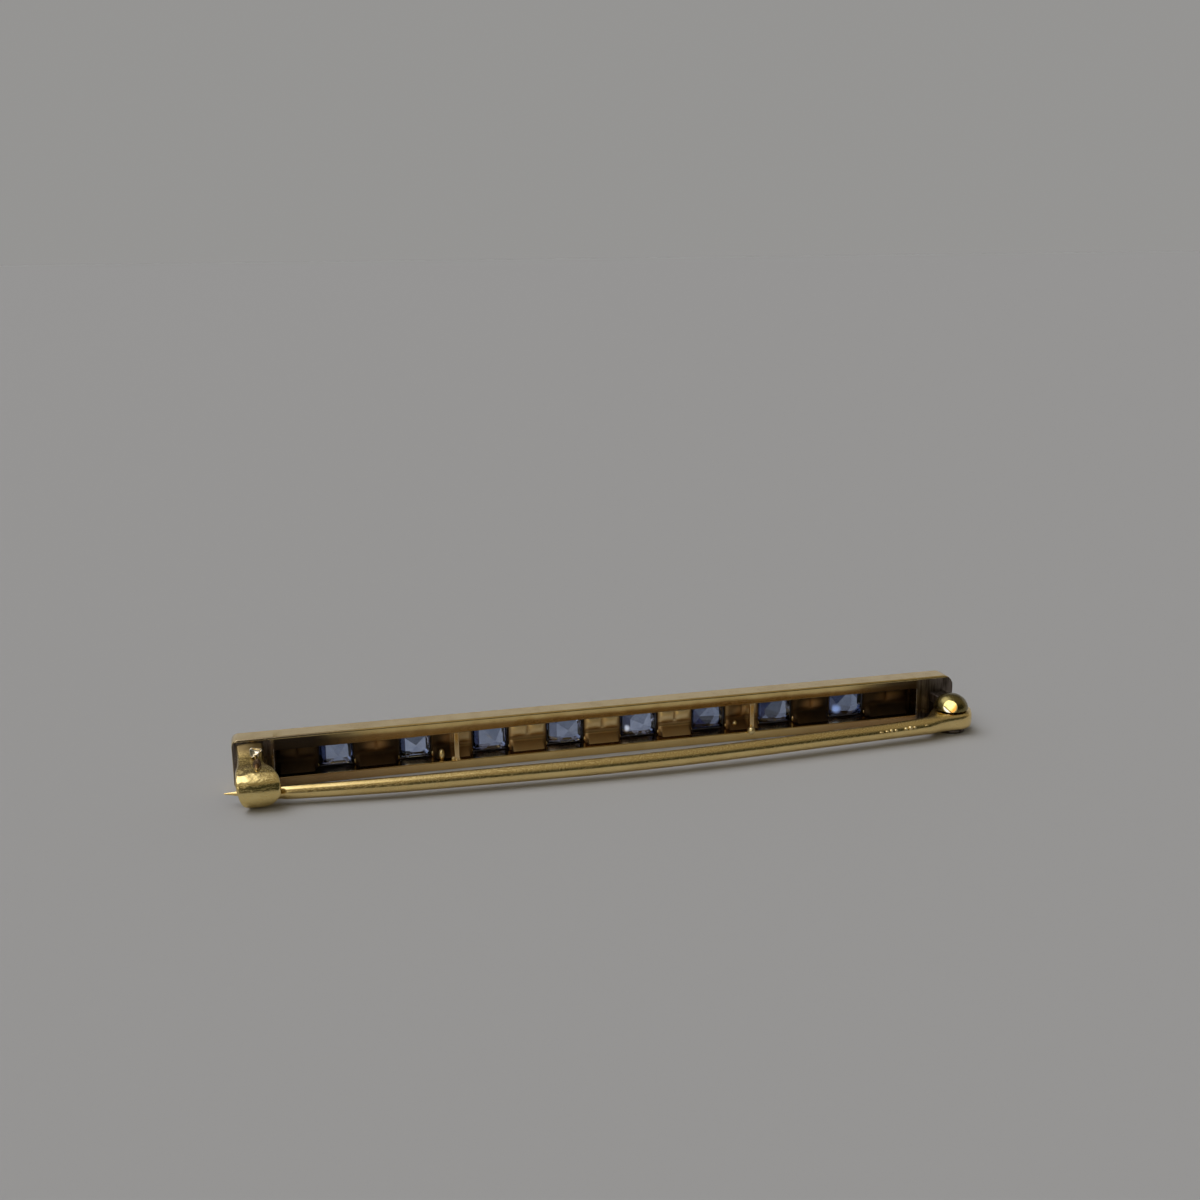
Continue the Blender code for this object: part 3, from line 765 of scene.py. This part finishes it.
# Two thin stays cross the open back, soldered to both rails. Their feet spread into the solder.
# The end blocks' inner edges stand out as a thin lip, grey with oxide.
STAYS = (-11.18, 10.22)
STAY_WIDTH = 0.36
STAY_START = 0.10
STAY_END = 0.50
STAY_SUNK = 0.12
STAY_SPREAD = 0.10
STAY_EDGE = 0.09
STAY_STEPS = 24
LIP_WIDTH = 0.05
LIP_PROUD = 0.012
LIP_DEPTH = 0.20
LIP_EDGE = 0.02
LIP_GREY = (0.30, 0.30, 0.33)


def rounded_box(left, right, low, high, radius):
    """The closed outline of a rectangle with small rounded corners."""
    corners = ((left, low, radius), (right, low, radius), (right, high, radius), (left, high, radius))
    return rounded(corners, steps=4)


builder = bmesh.new()
for centre in STAYS:
    rings = []
    for step in range(STAY_STEPS + 1):
        share = step / STAY_STEPS
        z = LOWER_RAIL - STAY_SUNK + (rail_top - LOWER_RAIL + 2 * STAY_SUNK) * share
        near = min(z - LOWER_RAIL, rail_top - z)
        spread = STAY_SPREAD * math.exp(-max(near, 0) / 0.10)
        half = STAY_WIDTH / 2 + spread
        start = STAY_START - spread * 0.2
        outline = rounded_box(centre - half, centre + half, start, STAY_END + spread, STAY_EDGE)
        rings.append([(x, y, z) for x, y in outline])
    loft(builder, rings)
for centre in (CHANNEL_START - LIP_WIDTH / 2, CHANNEL_END + LIP_WIDTH / 2):
    lip = rounded_box(centre - LIP_WIDTH / 2, centre + LIP_WIDTH / 2, -LIP_PROUD, LIP_DEPTH, LIP_EDGE)
    loft(builder, [[(x, y, z) for x, y in lip] for z in (LOWER_RAIL - 0.1, rail_top)])
stays = from_builder("stays", builder, sharp=60)


def stay_films(place, patches):
    """The lips at the channel's ends are grey with oxide."""
    lips = abs(place.axis("X") - BAR_MIDDLE).rise(22.8, 22.9)
    return ((lips * 0.85, LIP_GREY),)


stay_gold = gold("stay_gold", (0.95, 0.72, 0.38), (0.82, 0.56, 0.27), 0.14, along="Z", wear=0.6,
                 tarnish_and_painted_light=stay_films)
stays.data.materials.append(stay_gold)
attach(stays, "brooch")
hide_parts("bar_frame")

# Small beads of solder and the turned-over ends of claws hold the stones and the stays.
# They are bright, because they stand proud and get rubbed.
Bead = namedtuple("Bead", "x y z radius half_height")
BEADS = [
    Bead(STAYS[0] - 0.24, 0.22, LOWER_RAIL + 0.08, 0.15, 0.16),
    Bead(STAYS[0] - 0.02, 0.06, LOWER_RAIL + 0.05, 0.08, 0.09),
    Bead(STAYS[1] - 0.16, -0.12, LOWER_RAIL + 0.12, 0.30, 0.30),
    Bead(STAYS[0] - 1.00, 0.52, LOWER_RAIL + 0.34, 0.21, 0.42),
    Bead(STAYS[1] - 1.10, 0.80, LOWER_RAIL + 0.48, 0.17, 0.20),
]
for i, (left, right, foot, head) in enumerate(windows):
    size = 0.075 + 0.02 * math.sin(i * 2.4)
    BEADS.append(Bead(left - 0.09, CHANNEL_DEPTH - 0.03, foot + 0.16, size, size * 1.6))
    BEADS.append(Bead(right + 0.11, CHANNEL_DEPTH - 0.03, foot + 0.20, size, size * 2.2))


def geometry_tree(name, inputs, finish):
    """A new tree of geometry nodes: its inputs, and the socket that takes what it makes."""
    tree = bpy.data.node_groups.new(name, "GeometryNodeTree")
    for entry, kind in inputs.items():
        tree.interface.new_socket(entry, in_out="INPUT", socket_type=f"NodeSocket{kind}")
    tree.interface.new_socket("Result", in_out="OUTPUT", socket_type="NodeSocketGeometry")
    given = tree.nodes.new("NodeGroupInput")
    real = tree.nodes.new("GeometryNodeRealizeInstances")
    coat = tree.nodes.new("GeometryNodeSetMaterial")
    coat.inputs["Material"].default_value = finish
    result = tree.nodes.new("NodeGroupOutput")
    tree.links.new(real.outputs["Geometry"], coat.inputs["Geometry"])
    tree.links.new(coat.outputs["Geometry"], result.inputs["Result"])
    return tree, given.outputs, real.inputs["Geometry"]


def bead_tree(finish):
    """Geometry nodes that put one bead on each point, at its own radius and height."""
    tree, given, made = geometry_tree("beads", {"Points": "Geometry", "Roundness": "Int"}, finish)
    nodes = tree.nodes
    ball = nodes.new("GeometryNodeMeshIcoSphere")
    ball.inputs["Radius"].default_value = 1.0
    radius = nodes.new("GeometryNodeInputNamedAttribute")
    radius.data_type = "FLOAT_VECTOR"
    radius.inputs["Name"].default_value = "bead_size"
    place = nodes.new("GeometryNodeInstanceOnPoints")
    smooth = nodes.new("GeometryNodeSetShadeSmooth")
    for source, target in (
        (given["Roundness"], ball.inputs["Subdivisions"]),
        (given["Points"], place.inputs["Points"]),
        (ball.outputs["Mesh"], place.inputs["Instance"]),
        (radius.outputs["Attribute"], place.inputs["Scale"]),
        (place.outputs["Instances"], smooth.inputs["Geometry"]),
        (smooth.outputs["Geometry"], made),
    ):
        tree.links.new(source, target)
    return tree


def grow(holder, tree, **values):
    """Run a tree on an object with these inputs, and keep its result as a plain mesh."""
    change = holder.modifiers.new("grow", "NODES")
    change.node_group = tree
    for entry in tree.interface.items_tree:
        if entry.item_type == "SOCKET" and entry.name in values:
            change[entry.identifier] = values[entry.name]
    graph = bpy.context.evaluated_depsgraph_get()
    holder.data = bpy.data.meshes.new_from_object(holder.evaluated_get(graph))
    holder.modifiers.clear()


def scattered_beads(name, rows, finish):
    """A mesh of beads from rows drawn in millimetres from the bar's middle."""
    mesh = bpy.data.meshes.new(name)
    mesh.from_pydata([((b.x + BAR_MIDDLE) * MM, (b.y + BACK_PLANE) * MM, b.z * MM) for b in rows], [], [])
    sizes = mesh.attributes.new("bead_size", "FLOAT_VECTOR", "POINT")
    for entry, bead in zip(sizes.data, rows):
        entry.vector = Vector((bead.radius, bead.radius, bead.half_height)) * MM
    made = bpy.data.objects.new(name, mesh)
    bpy.context.scene.collection.objects.link(made)
    grow(made, bead_tree(finish), Roundness=3)
    return made


bead_gold = gold("bead_gold", (1.0, 0.84, 0.46), (0.94, 0.72, 0.34), 0.26, wear=0.4, dents=0.6)
beads = scattered_beads("beads", BEADS, bead_gold)
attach(beads, "brooch")
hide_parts("bar_frame")

# A rim of half-round wire stands round each window on the front, and holds its stone.
# The front is plain otherwise.
RIM_WIRE = 0.12
RIM_OUT = 0.03
RIM_CORNER = 0.12


def rim_tree(finish):
    """Geometry nodes that sweep a round wire along a rounded rectangle."""
    inputs = {"Start": "Geometry", "Width": "Float", "Height": "Float", "Corner": "Float", "Wire": "Float"}
    tree, given, made = geometry_tree("window_rim", inputs, finish)
    nodes = tree.nodes
    path = nodes.new("GeometryNodeCurvePrimitiveQuadrilateral")
    corner = nodes.new("GeometryNodeFilletCurve")
    corner.mode = "POLY"
    corner.inputs["Count"].default_value = 5
    profile = nodes.new("GeometryNodeCurvePrimitiveCircle")
    profile.inputs["Resolution"].default_value = 12
    sweep = nodes.new("GeometryNodeCurveToMesh")
    stand = nodes.new("GeometryNodeTransform")
    stand.inputs["Rotation"].default_value = (math.pi / 2, 0, 0)
    for source, target in (
        (given["Width"], path.inputs["Width"]),
        (given["Height"], path.inputs["Height"]),
        (path.outputs["Curve"], corner.inputs["Curve"]),
        (given["Corner"], corner.inputs["Radius"]),
        (corner.outputs["Curve"], sweep.inputs["Curve"]),
        (given["Wire"], profile.inputs["Radius"]),
        (profile.outputs["Curve"], sweep.inputs["Profile Curve"]),
        (sweep.outputs["Mesh"], stand.inputs["Geometry"]),
        (stand.outputs["Geometry"], made),
    ):
        tree.links.new(source, target)
    return tree


def rim_films(place, patches):
    """The rim is black where it lies inside its window."""
    return ((1 - (place.axis("Y") - BACK_PLANE).rise(BAR_DEPTH, BAR_DEPTH + 0.04), BLACK_OXIDE),)


rim_gold = gold("rim_gold", OLD_GOLD, OLD_GOLD_SHADE, 0.16, wear=0.6, tarnish_and_painted_light=rim_films)
sweep_rim = rim_tree(rim_gold)
for i, (left, right, foot, head) in enumerate(windows):
    rim = bpy.data.objects.new(f"window_rim_{i + 1}", bpy.data.meshes.new(f"window_rim_{i + 1}"))
    bpy.context.scene.collection.objects.link(rim)
    width = (right - left + 2 * RIM_OUT) * MM
    tall = (head - foot + 2 * RIM_OUT) * MM
    grow(rim, sweep_rim, Width=width, Height=tall, Corner=RIM_CORNER * MM, Wire=RIM_WIRE * MM)
    rim_y = BACK_PLANE + BAR_DEPTH + RIM_OUT
    centre = Vector(((left + right) / 2 + BAR_MIDDLE, rim_y, (foot + head) / 2)) * MM
    rim.data.transform(Matrix.Translation(centre))
    rim.data.shade_smooth()
    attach(rim, "brooch")
    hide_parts("bar_frame")

# The catch is a broad strip of sheet. It leaves the end block, falls a little and turns down round the pin.
# It is polished bright by the thumb that opens it, with fine scratches across it.
CATCH_THICKNESS = 0.34
CATCH_CROWN = 0.07
CROWN_RADIUS = 5.0
INNER_EDGES = 0.10
LEFT_EDGE = 0.18
RIGHT_EDGE = 0.20
NECK_SWEEP = 0.40
NECK_SWEEP_REACH = 0.40
CATCH_CENTRE_OUT = 3.17
CATCH_CENTRE_HEIGHT = 1.20
CATCH_RADIUS = 1.20
CATCH_TANGENT = 8
Neck = namedtuple("Neck", "out left right")
CATCH_NECK = (
    Neck(-0.20, -25.74, -23.96),
    Neck(0.90, -25.66, -23.98),
    Neck(1.90, -25.70, -23.92),
    Neck(2.40, -25.80, -23.56),
    Neck(3.00, -25.84, -23.28),
)
Hook = namedtuple("Hook", "angle left right")
CATCH_HOOK = (
    Hook(8, -25.83, -23.22),
    Hook(30, -25.84, -23.12),
    Hook(52, -25.84, -23.06),
    Hook(76, -25.79, -23.06),
    Hook(100, -25.69, -23.10),
    Hook(118, -25.61, -23.30),
    Hook(138, -25.49, -23.56),
    Hook(160, -25.30, -23.86),
    Hook(185, -25.18, -23.96),
    Hook(212, -25.10, -24.04),
)


def through(values, share):
    """A value on a smooth curve through four others, between the middle two."""
    before, start, end, after = values
    b = end - before
    c = 2 * before - 5 * start + 4 * end - after
    d = 3 * start - before - 3 * end + after
    return (2 * start + b * share + c * share**2 + d * share**3) / 2


def smooth_rows(rows, steps):
    """A table's rows with smooth steps between them."""
    padded = [rows[0], *rows, rows[-1]]
    found = []
    for i in range(1, len(padded) - 2):
        for step in range(steps):
            found.append([through(column, step / steps) for column in zip(*padded[i - 1:i + 3])])
    found.append(list(rows[-1]))
    return found


tangent = math.radians(CATCH_TANGENT)
mid_radius = CATCH_RADIUS - CATCH_THICKNESS / 2
meet_out = CATCH_CENTRE_OUT + mid_radius * math.sin(tangent)
meet_height = CATCH_CENTRE_HEIGHT + mid_radius * math.cos(tangent)


def neck_height(out):
    """Height of the middle of the catch's strip along its falling neck."""
    return meet_height + (meet_out - out) * math.tan(tangent)


def root_sweep(out):
    """How much the strip sweeps up where it is soldered to the end block."""
    return NECK_SWEEP * math.exp(-max(out, 0) / NECK_SWEEP_REACH)


stations = []
for out, left, right in smooth_rows(CATCH_NECK, 5)[:-1]:
    away = Vector((0, -math.sin(tangent), math.cos(tangent)))
    stations.append((Vector((0, -out, neck_height(out) + root_sweep(out))), away, left, right))
for angle, left, right in smooth_rows(CATCH_HOOK, 5):
    turn = math.radians(angle)
    away = Vector((0, -math.sin(turn), math.cos(turn)))
    middle = Vector((0, -CATCH_CENTRE_OUT, CATCH_CENTRE_HEIGHT)) + away * mid_radius
    stations.append((middle, away, left, right))
rings = []
for middle, away, left, right in stations:
    half = CATCH_THICKNESS / 2
    profile = rounded((
        (left, -half, INNER_EDGES),
        (right, -half, INNER_EDGES),
        (right, half - CATCH_CROWN, RIGHT_EDGE),
        ((left + right) / 2, half, CROWN_RADIUS),
        (left, half - CATCH_CROWN, LEFT_EDGE),
    ), steps=6)
    rings.append([(x, middle.y + away.y * h, middle.z + away.z * h) for x, h in profile])
builder = bmesh.new()
loft(builder, rings)
catch = from_builder("catch_hook", builder, sharp=60)
POCKET_X = -24.44
POCKET_OUT = 2.36
POCKET_HALF = (0.26, 0.78, 0.16)
POCKET_RAISED = 0.03
dent = bmesh.new()
bmesh.ops.create_uvsphere(dent, u_segments=32, v_segments=16, radius=1.0)
bmesh.ops.scale(dent, vec=POCKET_HALF, verts=dent.verts)
bmesh.ops.rotate(dent, cent=(0, 0, 0), matrix=Matrix.Rotation(tangent, 3, "X"), verts=dent.verts)
pocket_height = neck_height(POCKET_OUT) + CATCH_THICKNESS / 2 / math.cos(tangent)
bmesh.ops.translate(dent, vec=(POCKET_X, -POCKET_OUT, pocket_height + POCKET_RAISED), verts=dent.verts)
carve(catch, from_builder("pocket_cut", dent), "DIFFERENCE")
catch.data.shade_smooth()
catch.data.set_sharp_from_angle(angle=math.radians(40))
CATCH_OLIVE = (0.42, 0.30, 0.10)
ROOT_DARK = (0.13, 0.09, 0.045)
POCKET_BROWN = (0.10, 0.04, 0.012)
BEND_MARKS = 11.0
NECK_MARKS = 5.0


def catch_tarnish_and_painted_shade(place, patches):
    """Olive on the neck, partly painted dark reflection; darker towards the root; painted shade in its
    pocket; bare where the pin and the thumb rub.
    """
    x = place.axis("X") - BAR_MIDDLE
    out = BACK_PLANE - place.axis("Y")
    z = place.axis("Z")
    # The olive on the neck is partly tarnish and partly painted dark reflection.
    neck = (1 - (out + patches * 0.5).rise(2.5, 3.4)) * z.rise(1.9, 2.1)
    far_x = abs(x - POCKET_X) / (POCKET_HALF[0] * 1.1)
    far_out = abs(out - POCKET_OUT) / (POCKET_HALF[1] * 1.05)
    # The pocket under the rivet's head is painted dark brown as shade.
    pocket = (1 - (far_x * far_x + far_out * far_out).rise(0.6, 1.1)) * z.rise(2.1, 2.2)
    # The strip is made darker towards its root at the end block.
    root = 1 - (out + patches * 0.4).rise(0.4, 1.5)
    return (
        (neck * 0.85, CATCH_OLIVE),
        (root * 0.85, ROOT_DARK),
        (pocket * 0.95, POCKET_BROWN),
    )


def hammered_top(place):
    """The bend's top is uneven, as the hammer left it, and the neck less so. Its front is smooth."""
    on_neck = (BACK_PLANE - place.axis("Y")).rise(2.6, 2.2)
    return place.axis("Z").rise(1.5, 1.9) * (BEND_MARKS - on_neck * (BEND_MARKS - NECK_MARKS))


catch_gold = gold("catch_gold", (0.96, 0.76, 0.34), (0.88, 0.67, 0.27), 0.11, wear=2.0, dents=0.35,
                  tarnish_and_painted_light=catch_tarnish_and_painted_shade, hammered=hammered_top)
catch.data.materials.append(catch_gold)
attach(catch, "brooch")
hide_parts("catch")

# A lug of the end block lies under the neck, and carries the catch.
LUG_LEFT = -25.20
LUG_RIGHT = -24.00
LUG_REACH = 1.75
LUG_THICKNESS = 0.42
LUG_ROOT = 0.67
LUG_START = -0.30
LUG_CORNER = 0.10
LUG_GAP = 0.06
under = CATCH_THICKNESS / 2 / math.cos(tangent) + LUG_GAP
rings = []
for out in (LUG_START, 0.0, 0.6, 1.2, LUG_REACH - LUG_CORNER, LUG_REACH):
    deep = LUG_ROOT + (LUG_THICKNESS - LUG_ROOT) * (out - LUG_START) / (LUG_REACH - LUG_START)
    draw = LUG_CORNER if out == LUG_REACH else 0.0
    top = neck_height(out) - under
    profile = rounded((
        (LUG_LEFT + draw, top - draw, 0.06),
        (LUG_RIGHT - draw, top - draw, 0.06),
        (LUG_RIGHT - draw, top - deep + draw, 0.12),
        (LUG_LEFT + draw, top - deep + draw, 0.12),
    ), steps=3)
    rings.append([(x, -out, z) for x, z in profile])
builder = bmesh.new()
loft(builder, rings)
lug = from_builder("catch_lug", builder, sharp=50)
lug.data.materials.append(bar_gold)
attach(lug, "brooch")
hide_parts("bar_frame")

# The rivet's head on the neck is a small three-cornered button with a raised rim, rubbed bright.
# It leans back a little on its stalk, so that its hollow face is turned to whoever opens the catch.
NUB_X = -24.42
NUB_OUT = 1.30
NUB_LIFT = 0.45
NUB_LEAN = 28
NUB_TURN = 17
STALK_RADIUS = 0.17
STALK_FLARE = 0.05
STALK_FOOT = -0.75
STALK_HEAD = -0.05
STALK_CENTRE = (NUB_X - 0.05, -NUB_OUT + 0.12)
Corner = namedtuple("Corner", "x up radius")
NUB_CORNERS = (Corner(-0.50, 0.36, 0.14), Corner(0.55, 0.28, 0.11), Corner(-0.36, -0.44, 0.15))
ButtonRing = namedtuple("ButtonRing", "share height")
NUB_RINGS = (
    ButtonRing(0.70, -0.10),
    ButtonRing(0.94, -0.05),
    ButtonRing(1.00, 0.03),
    ButtonRing(0.98, 0.09),
    ButtonRing(0.90, 0.12),
    ButtonRing(0.80, 0.10),
    ButtonRing(0.72, 0.03),
    ButtonRing(0.40, 0.00),
    ButtonRing(0.06, -0.01),
)


def turned(builder, profile, sides, centre):
    """An upright solid of revolution, from (radius, height) pairs that start and end near its axis."""
    rings = []
    for radius, height in profile:
        ring = []
        for i in range(sides):
            turn = 2 * math.pi * i / sides
            ring.append((centre[0] + radius * math.cos(turn), centre[1] + radius * math.sin(turn), height))
        rings.append(ring)
    loft(builder, rings)


outline = rounded(NUB_CORNERS, steps=8)
builder = bmesh.new()
loft(builder, [[(a * share, b * share, height) for a, b in outline] for share, height in NUB_RINGS])
leant_back = Matrix.Rotation(math.radians(90 - NUB_LEAN), 4, "X")
turned_out = Matrix.Rotation(-math.radians(NUB_TURN), 4, "Z") @ leant_back
nub_place = Vector((NUB_X, -NUB_OUT, neck_height(NUB_OUT) + NUB_LIFT))
bmesh.ops.transform(builder, matrix=Matrix.Translation(nub_place) @ turned_out, verts=builder.verts)
stalk = []
for share in (0.0, 0.25, 0.5, 0.75, 1.0):
    height = neck_height(NUB_OUT) + STALK_FOOT + (NUB_LIFT + STALK_HEAD - STALK_FOOT) * share
    stalk.append((STALK_RADIUS + STALK_FLARE * (2 * share - 1) ** 2, height))
turned(builder, stalk, 20, STALK_CENTRE)
nub = from_builder("catch_rivet_head", builder, sharp=60)
nub_gold = gold("nub_gold", (1.0, 0.92, 0.76), (0.96, 0.86, 0.66), 0.12, wear=0.4, dents=0.2)
nub.data.materials.append(nub_gold)
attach(nub, "brooch")
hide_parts("catch_rivet")

# The pin is hard-drawn gold wire, bowed away from the bar, thin at its point and flattened to a round head.
# The head turns between two knuckles.
HINGE_X = 24.80
HINGE_OUT = 2.00
HEAD_RADIUS = 1.50
INNER_TAPER = 0.30
OUTER_TAPER = 0.19
SHOULDER = 0.02
PinRow = namedtuple("PinRow", "x out height radius")
PIN_ROWS = (
    PinRow(-26.62, 2.36, 0.78, 0.04),
    PinRow(-25.90, 2.50, 0.78, 0.14),
    PinRow(-25.00, 2.74, 0.78, 0.26),
    PinRow(-24.20, 2.93, 0.78, 0.34),
    PinRow(-23.10, 3.10, 0.78, 0.41),
    PinRow(-21.90, 3.28, 0.79, 0.46),
    PinRow(-16.00, 3.85, 0.82, 0.51),
    PinRow(-9.00, 4.20, 0.86, 0.545),
    PinRow(-2.00, 4.47, 0.89, 0.56),
    PinRow(4.00, 4.50, 0.94, 0.56),
    PinRow(9.00, 4.30, 0.97, 0.56),
    PinRow(14.00, 3.98, 0.98, 0.56),
    PinRow(19.00, 3.62, 0.96, 0.56),
    PinRow(22.20, 3.36, 0.98, 0.61),
)
HEAD_STATIONS = 22
SIDES = 32
# The section goes from round in the wire to a squarer oval in the head, by the power of its curve.
ROUND = 2.0
SQUARER = 3.6
line = []
for x, out, height, radius in smooth_rows(PIN_ROWS, 6):
    line.append((x, out - radius, out + radius, height, radius, ROUND))
neck_x, neck_out, head_height, neck_radius = PIN_ROWS[-1]
for i in range(1, HEAD_STATIONS + 1):
    share = i / HEAD_STATIONS
    x = neck_x + (HINGE_X + HEAD_RADIUS - neck_x) * math.sin(math.pi / 2 * share)
    across = math.sqrt(max(HEAD_RADIUS**2 - (x - HINGE_X) ** 2, 0.0))
    inner_stem = neck_out - neck_radius - INNER_TAPER * (x - neck_x)
    outer_stem = neck_out + neck_radius + SHOULDER - OUTER_TAPER * (x - neck_x)
    if x < HINGE_X:
        reach = max(0.0, min(1.0, (x - neck_x) / (HINGE_X - neck_x)))
        ease = reach * reach * (3 - 2 * reach)
        inner = inner_stem + (HINGE_OUT - HEAD_RADIUS - inner_stem) * ease
        outer = outer_stem + (HINGE_OUT + HEAD_RADIUS - outer_stem) * ease
    else:
        inner = HINGE_OUT - across
        outer = HINGE_OUT + across
    power = ROUND + (SQUARER - ROUND) * min(share * 2, 1)
    line.append((x, inner, outer, head_height, neck_radius, power))
rings = []
for x, inner, outer, height, tall, power in line:
    ring = []
    middle = (inner + outer) / 2
    half = max((outer - inner) / 2, 0.02)
    rim = min(half, tall)
    flat = half - rim
    for k in range(SIDES):
        turn = 2 * math.pi * k / SIDES
        c = math.cos(turn)
        s = math.sin(turn)
        aside = math.copysign(flat * min(abs(c) * 3, 1) + rim * abs(c) ** (2 / power), c)
        z = height + tall * math.copysign(abs(s) ** (2 / power), s)
        ring.append((x, -middle - aside, z))
    rings.append(ring)
builder = bmesh.new()
loft(builder, rings)
pin = from_builder("pin_wire", builder, sharp=60)
pin_gold = gold("pin_gold", (0.95, 0.73, 0.33), (0.86, 0.64, 0.27), 0.17, along="X", wear=1.6, dents=0.05)
pin.data.materials.append(pin_gold)
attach(pin, "pin")
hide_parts("pin_stem")

# A row of bright burrs was left near the head, where pliers once gripped the wire.
# They are raised a hair from the wire's back.
BURRS = (
    Bead(18.30, -4.16, 1.17, 0.16, 0.05),
    Bead(18.75, -4.14, 1.18, 0.14, 0.07),
    Bead(19.10, -4.11, 1.18, 0.13, 0.11),
    Bead(19.45, -4.09, 1.17, 0.12, 0.09),
    Bead(20.25, -4.05, 1.20, 0.13, 0.10),
    Bead(20.60, -4.03, 1.22, 0.16, 0.14),
    Bead(20.95, -4.01, 1.22, 0.11, 0.08),
    Bead(21.90, -3.94, 1.28, 0.12, 0.03),
)
burrs = scattered_beads("pin_burrs", BURRS, bead_gold)
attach(burrs, "pin")
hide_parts("pin_stem")

# The hinge: a domed knuckle above the pin's head and a flat one below, each on a short arm from the end
# block. The dome has one flat, turned towards the catch and rubbed bright.
HEAD_LOW = 0.36
HEAD_HIGH = 1.60
GAP = 0.06
CAP_RADIUS = 0.34
KNUCKLE_SIDES = 48
DOME_RADIUS = 1.22
DOME_HEIGHT = 1.12
DOME_FOOT = 0.06
DOME_TIP = 0.03
DOME_STEPS = 14
FACET_TOWARDS = (-0.484, -0.781, 0.391)
FACET_DISTANCE = 1.10
FACET_MARKS = 8.0
DOME_OLIVE = (0.17, 0.13, 0.05)
HIGHLIGHT_ORANGE = (0.95, 0.36, 0.04)
HIGHLIGHT_PALE = (1.0, 0.96, 0.90)
ARM_LEFT = 24.10
ARM_RIGHT = 25.30
ARM_HEIGHT = 0.70
ARM_EDGE = 0.10
base = HEAD_HIGH + GAP
profile = [(CAP_RADIUS, base), (DOME_RADIUS - DOME_FOOT, base), (DOME_RADIUS, base + DOME_FOOT)]
for step in range(1, DOME_STEPS):
    turn = math.pi / 2 * step / DOME_STEPS
    height = base + DOME_FOOT + (DOME_HEIGHT - DOME_FOOT) * math.sin(turn)
    profile.append((DOME_RADIUS * math.cos(turn), height))
profile.append((DOME_TIP, base + DOME_HEIGHT))
builder = bmesh.new()
turned(builder, profile, KNUCKLE_SIDES, (HINGE_X, -HINGE_OUT))
facet_normal = Vector(FACET_TOWARDS).normalized()
facet_point = Vector((HINGE_X, -HINGE_OUT, base)) + facet_normal * FACET_DISTANCE
parts = [*builder.verts, *builder.edges, *builder.faces]
cut = bmesh.ops.bisect_plane(
    builder, geom=parts, plane_co=facet_point, plane_no=facet_normal, clear_outer=True,
)
bmesh.ops.contextual_create(builder, geom=[e for e in cut["geom_cut"] if isinstance(e, bmesh.types.BMEdge)])
dome = from_builder("hinge_dome", builder, sharp=14)


def dome_tarnish_and_painted_highlight(place, patches):
    """Olive tarnish on the dome. Its flat is worn bare and carries a painted highlight: orange towards its
    lower right, and a pale arc past a painted dark line at its lower left.
    """
    x = place.axis("X") - BAR_MIDDLE - facet_point.x
    y = place.axis("Y") - BACK_PLANE - facet_point.y
    z = place.axis("Z") - facet_point.z
    away = (x * x + y * y + z * z) ** 0.5
    flat = 1 - away.rise(0.42, 0.50)
    lower_right = x * 0.83 - z * 0.77
    lower_left = 0.0 - x * 0.83 - z * 0.77
    # Painted highlight: a pale arc at the flat's lower left with a painted dark line inside it, and orange
    # towards its lower right.
    painted_crescent = lower_left.rise(0.33, 0.37) * flat
    painted_gap = lower_left.rise(0.23, 0.27) * (1 - lower_left.rise(0.31, 0.35)) * flat
    return (
        ((1 - flat) * 0.9, DOME_OLIVE),
        (lower_right.rise(0.04, 0.36) * flat * 0.9, HIGHLIGHT_ORANGE),
        (painted_gap * 0.9, DOME_OLIVE),
        (painted_crescent, HIGHLIGHT_PALE),
    )


def hammered_flat(place):
    """The flat is a little uneven."""
    return place.axis("Z").rise(1.5, 1.6) * FACET_MARKS


dome_gold = gold("dome_gold", (0.98, 0.88, 0.36), (0.95, 0.80, 0.26), 0.14, along="Z", wear=1.2,
                 tarnish_and_painted_light=dome_tarnish_and_painted_highlight, hammered=hammered_flat)
dome.data.materials.append(dome_gold)
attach(dome, "brooch")
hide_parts("bar_frame")

builder = bmesh.new()
top = HEAD_LOW - GAP
profile = (
    (CAP_RADIUS, 0),
    (0.93, 0),
    (1.02, 0.06),
    (1.05, top * 0.6),
    (1.02, top - 0.02),
    (CAP_RADIUS, top),
)
turned(builder, profile, KNUCKLE_SIDES, (HINGE_X, -HINGE_OUT))
for low_z, high_z in ((base, base + ARM_HEIGHT), (0.0, top)):
    edge = min(ARM_EDGE, (high_z - low_z) * 0.4)
    outline = rounded_box(ARM_LEFT, ARM_RIGHT, low_z, high_z, edge)
    loft(builder, [[(x, y, z) for x, z in outline] for y in (0.3, 0.0, -0.8, -HINGE_OUT + 0.3)])
knuckle = from_builder("hinge_arms", builder, sharp=50)
knuckle.data.materials.append(bar_gold)
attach(knuckle, "brooch")
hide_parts("bar_frame")

# The hinge's rivet stays as it is modelled, in the same old gold.
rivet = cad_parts["hinge_rivet"]
rivet.data.materials.clear()
rivet.data.materials.append(bar_gold)
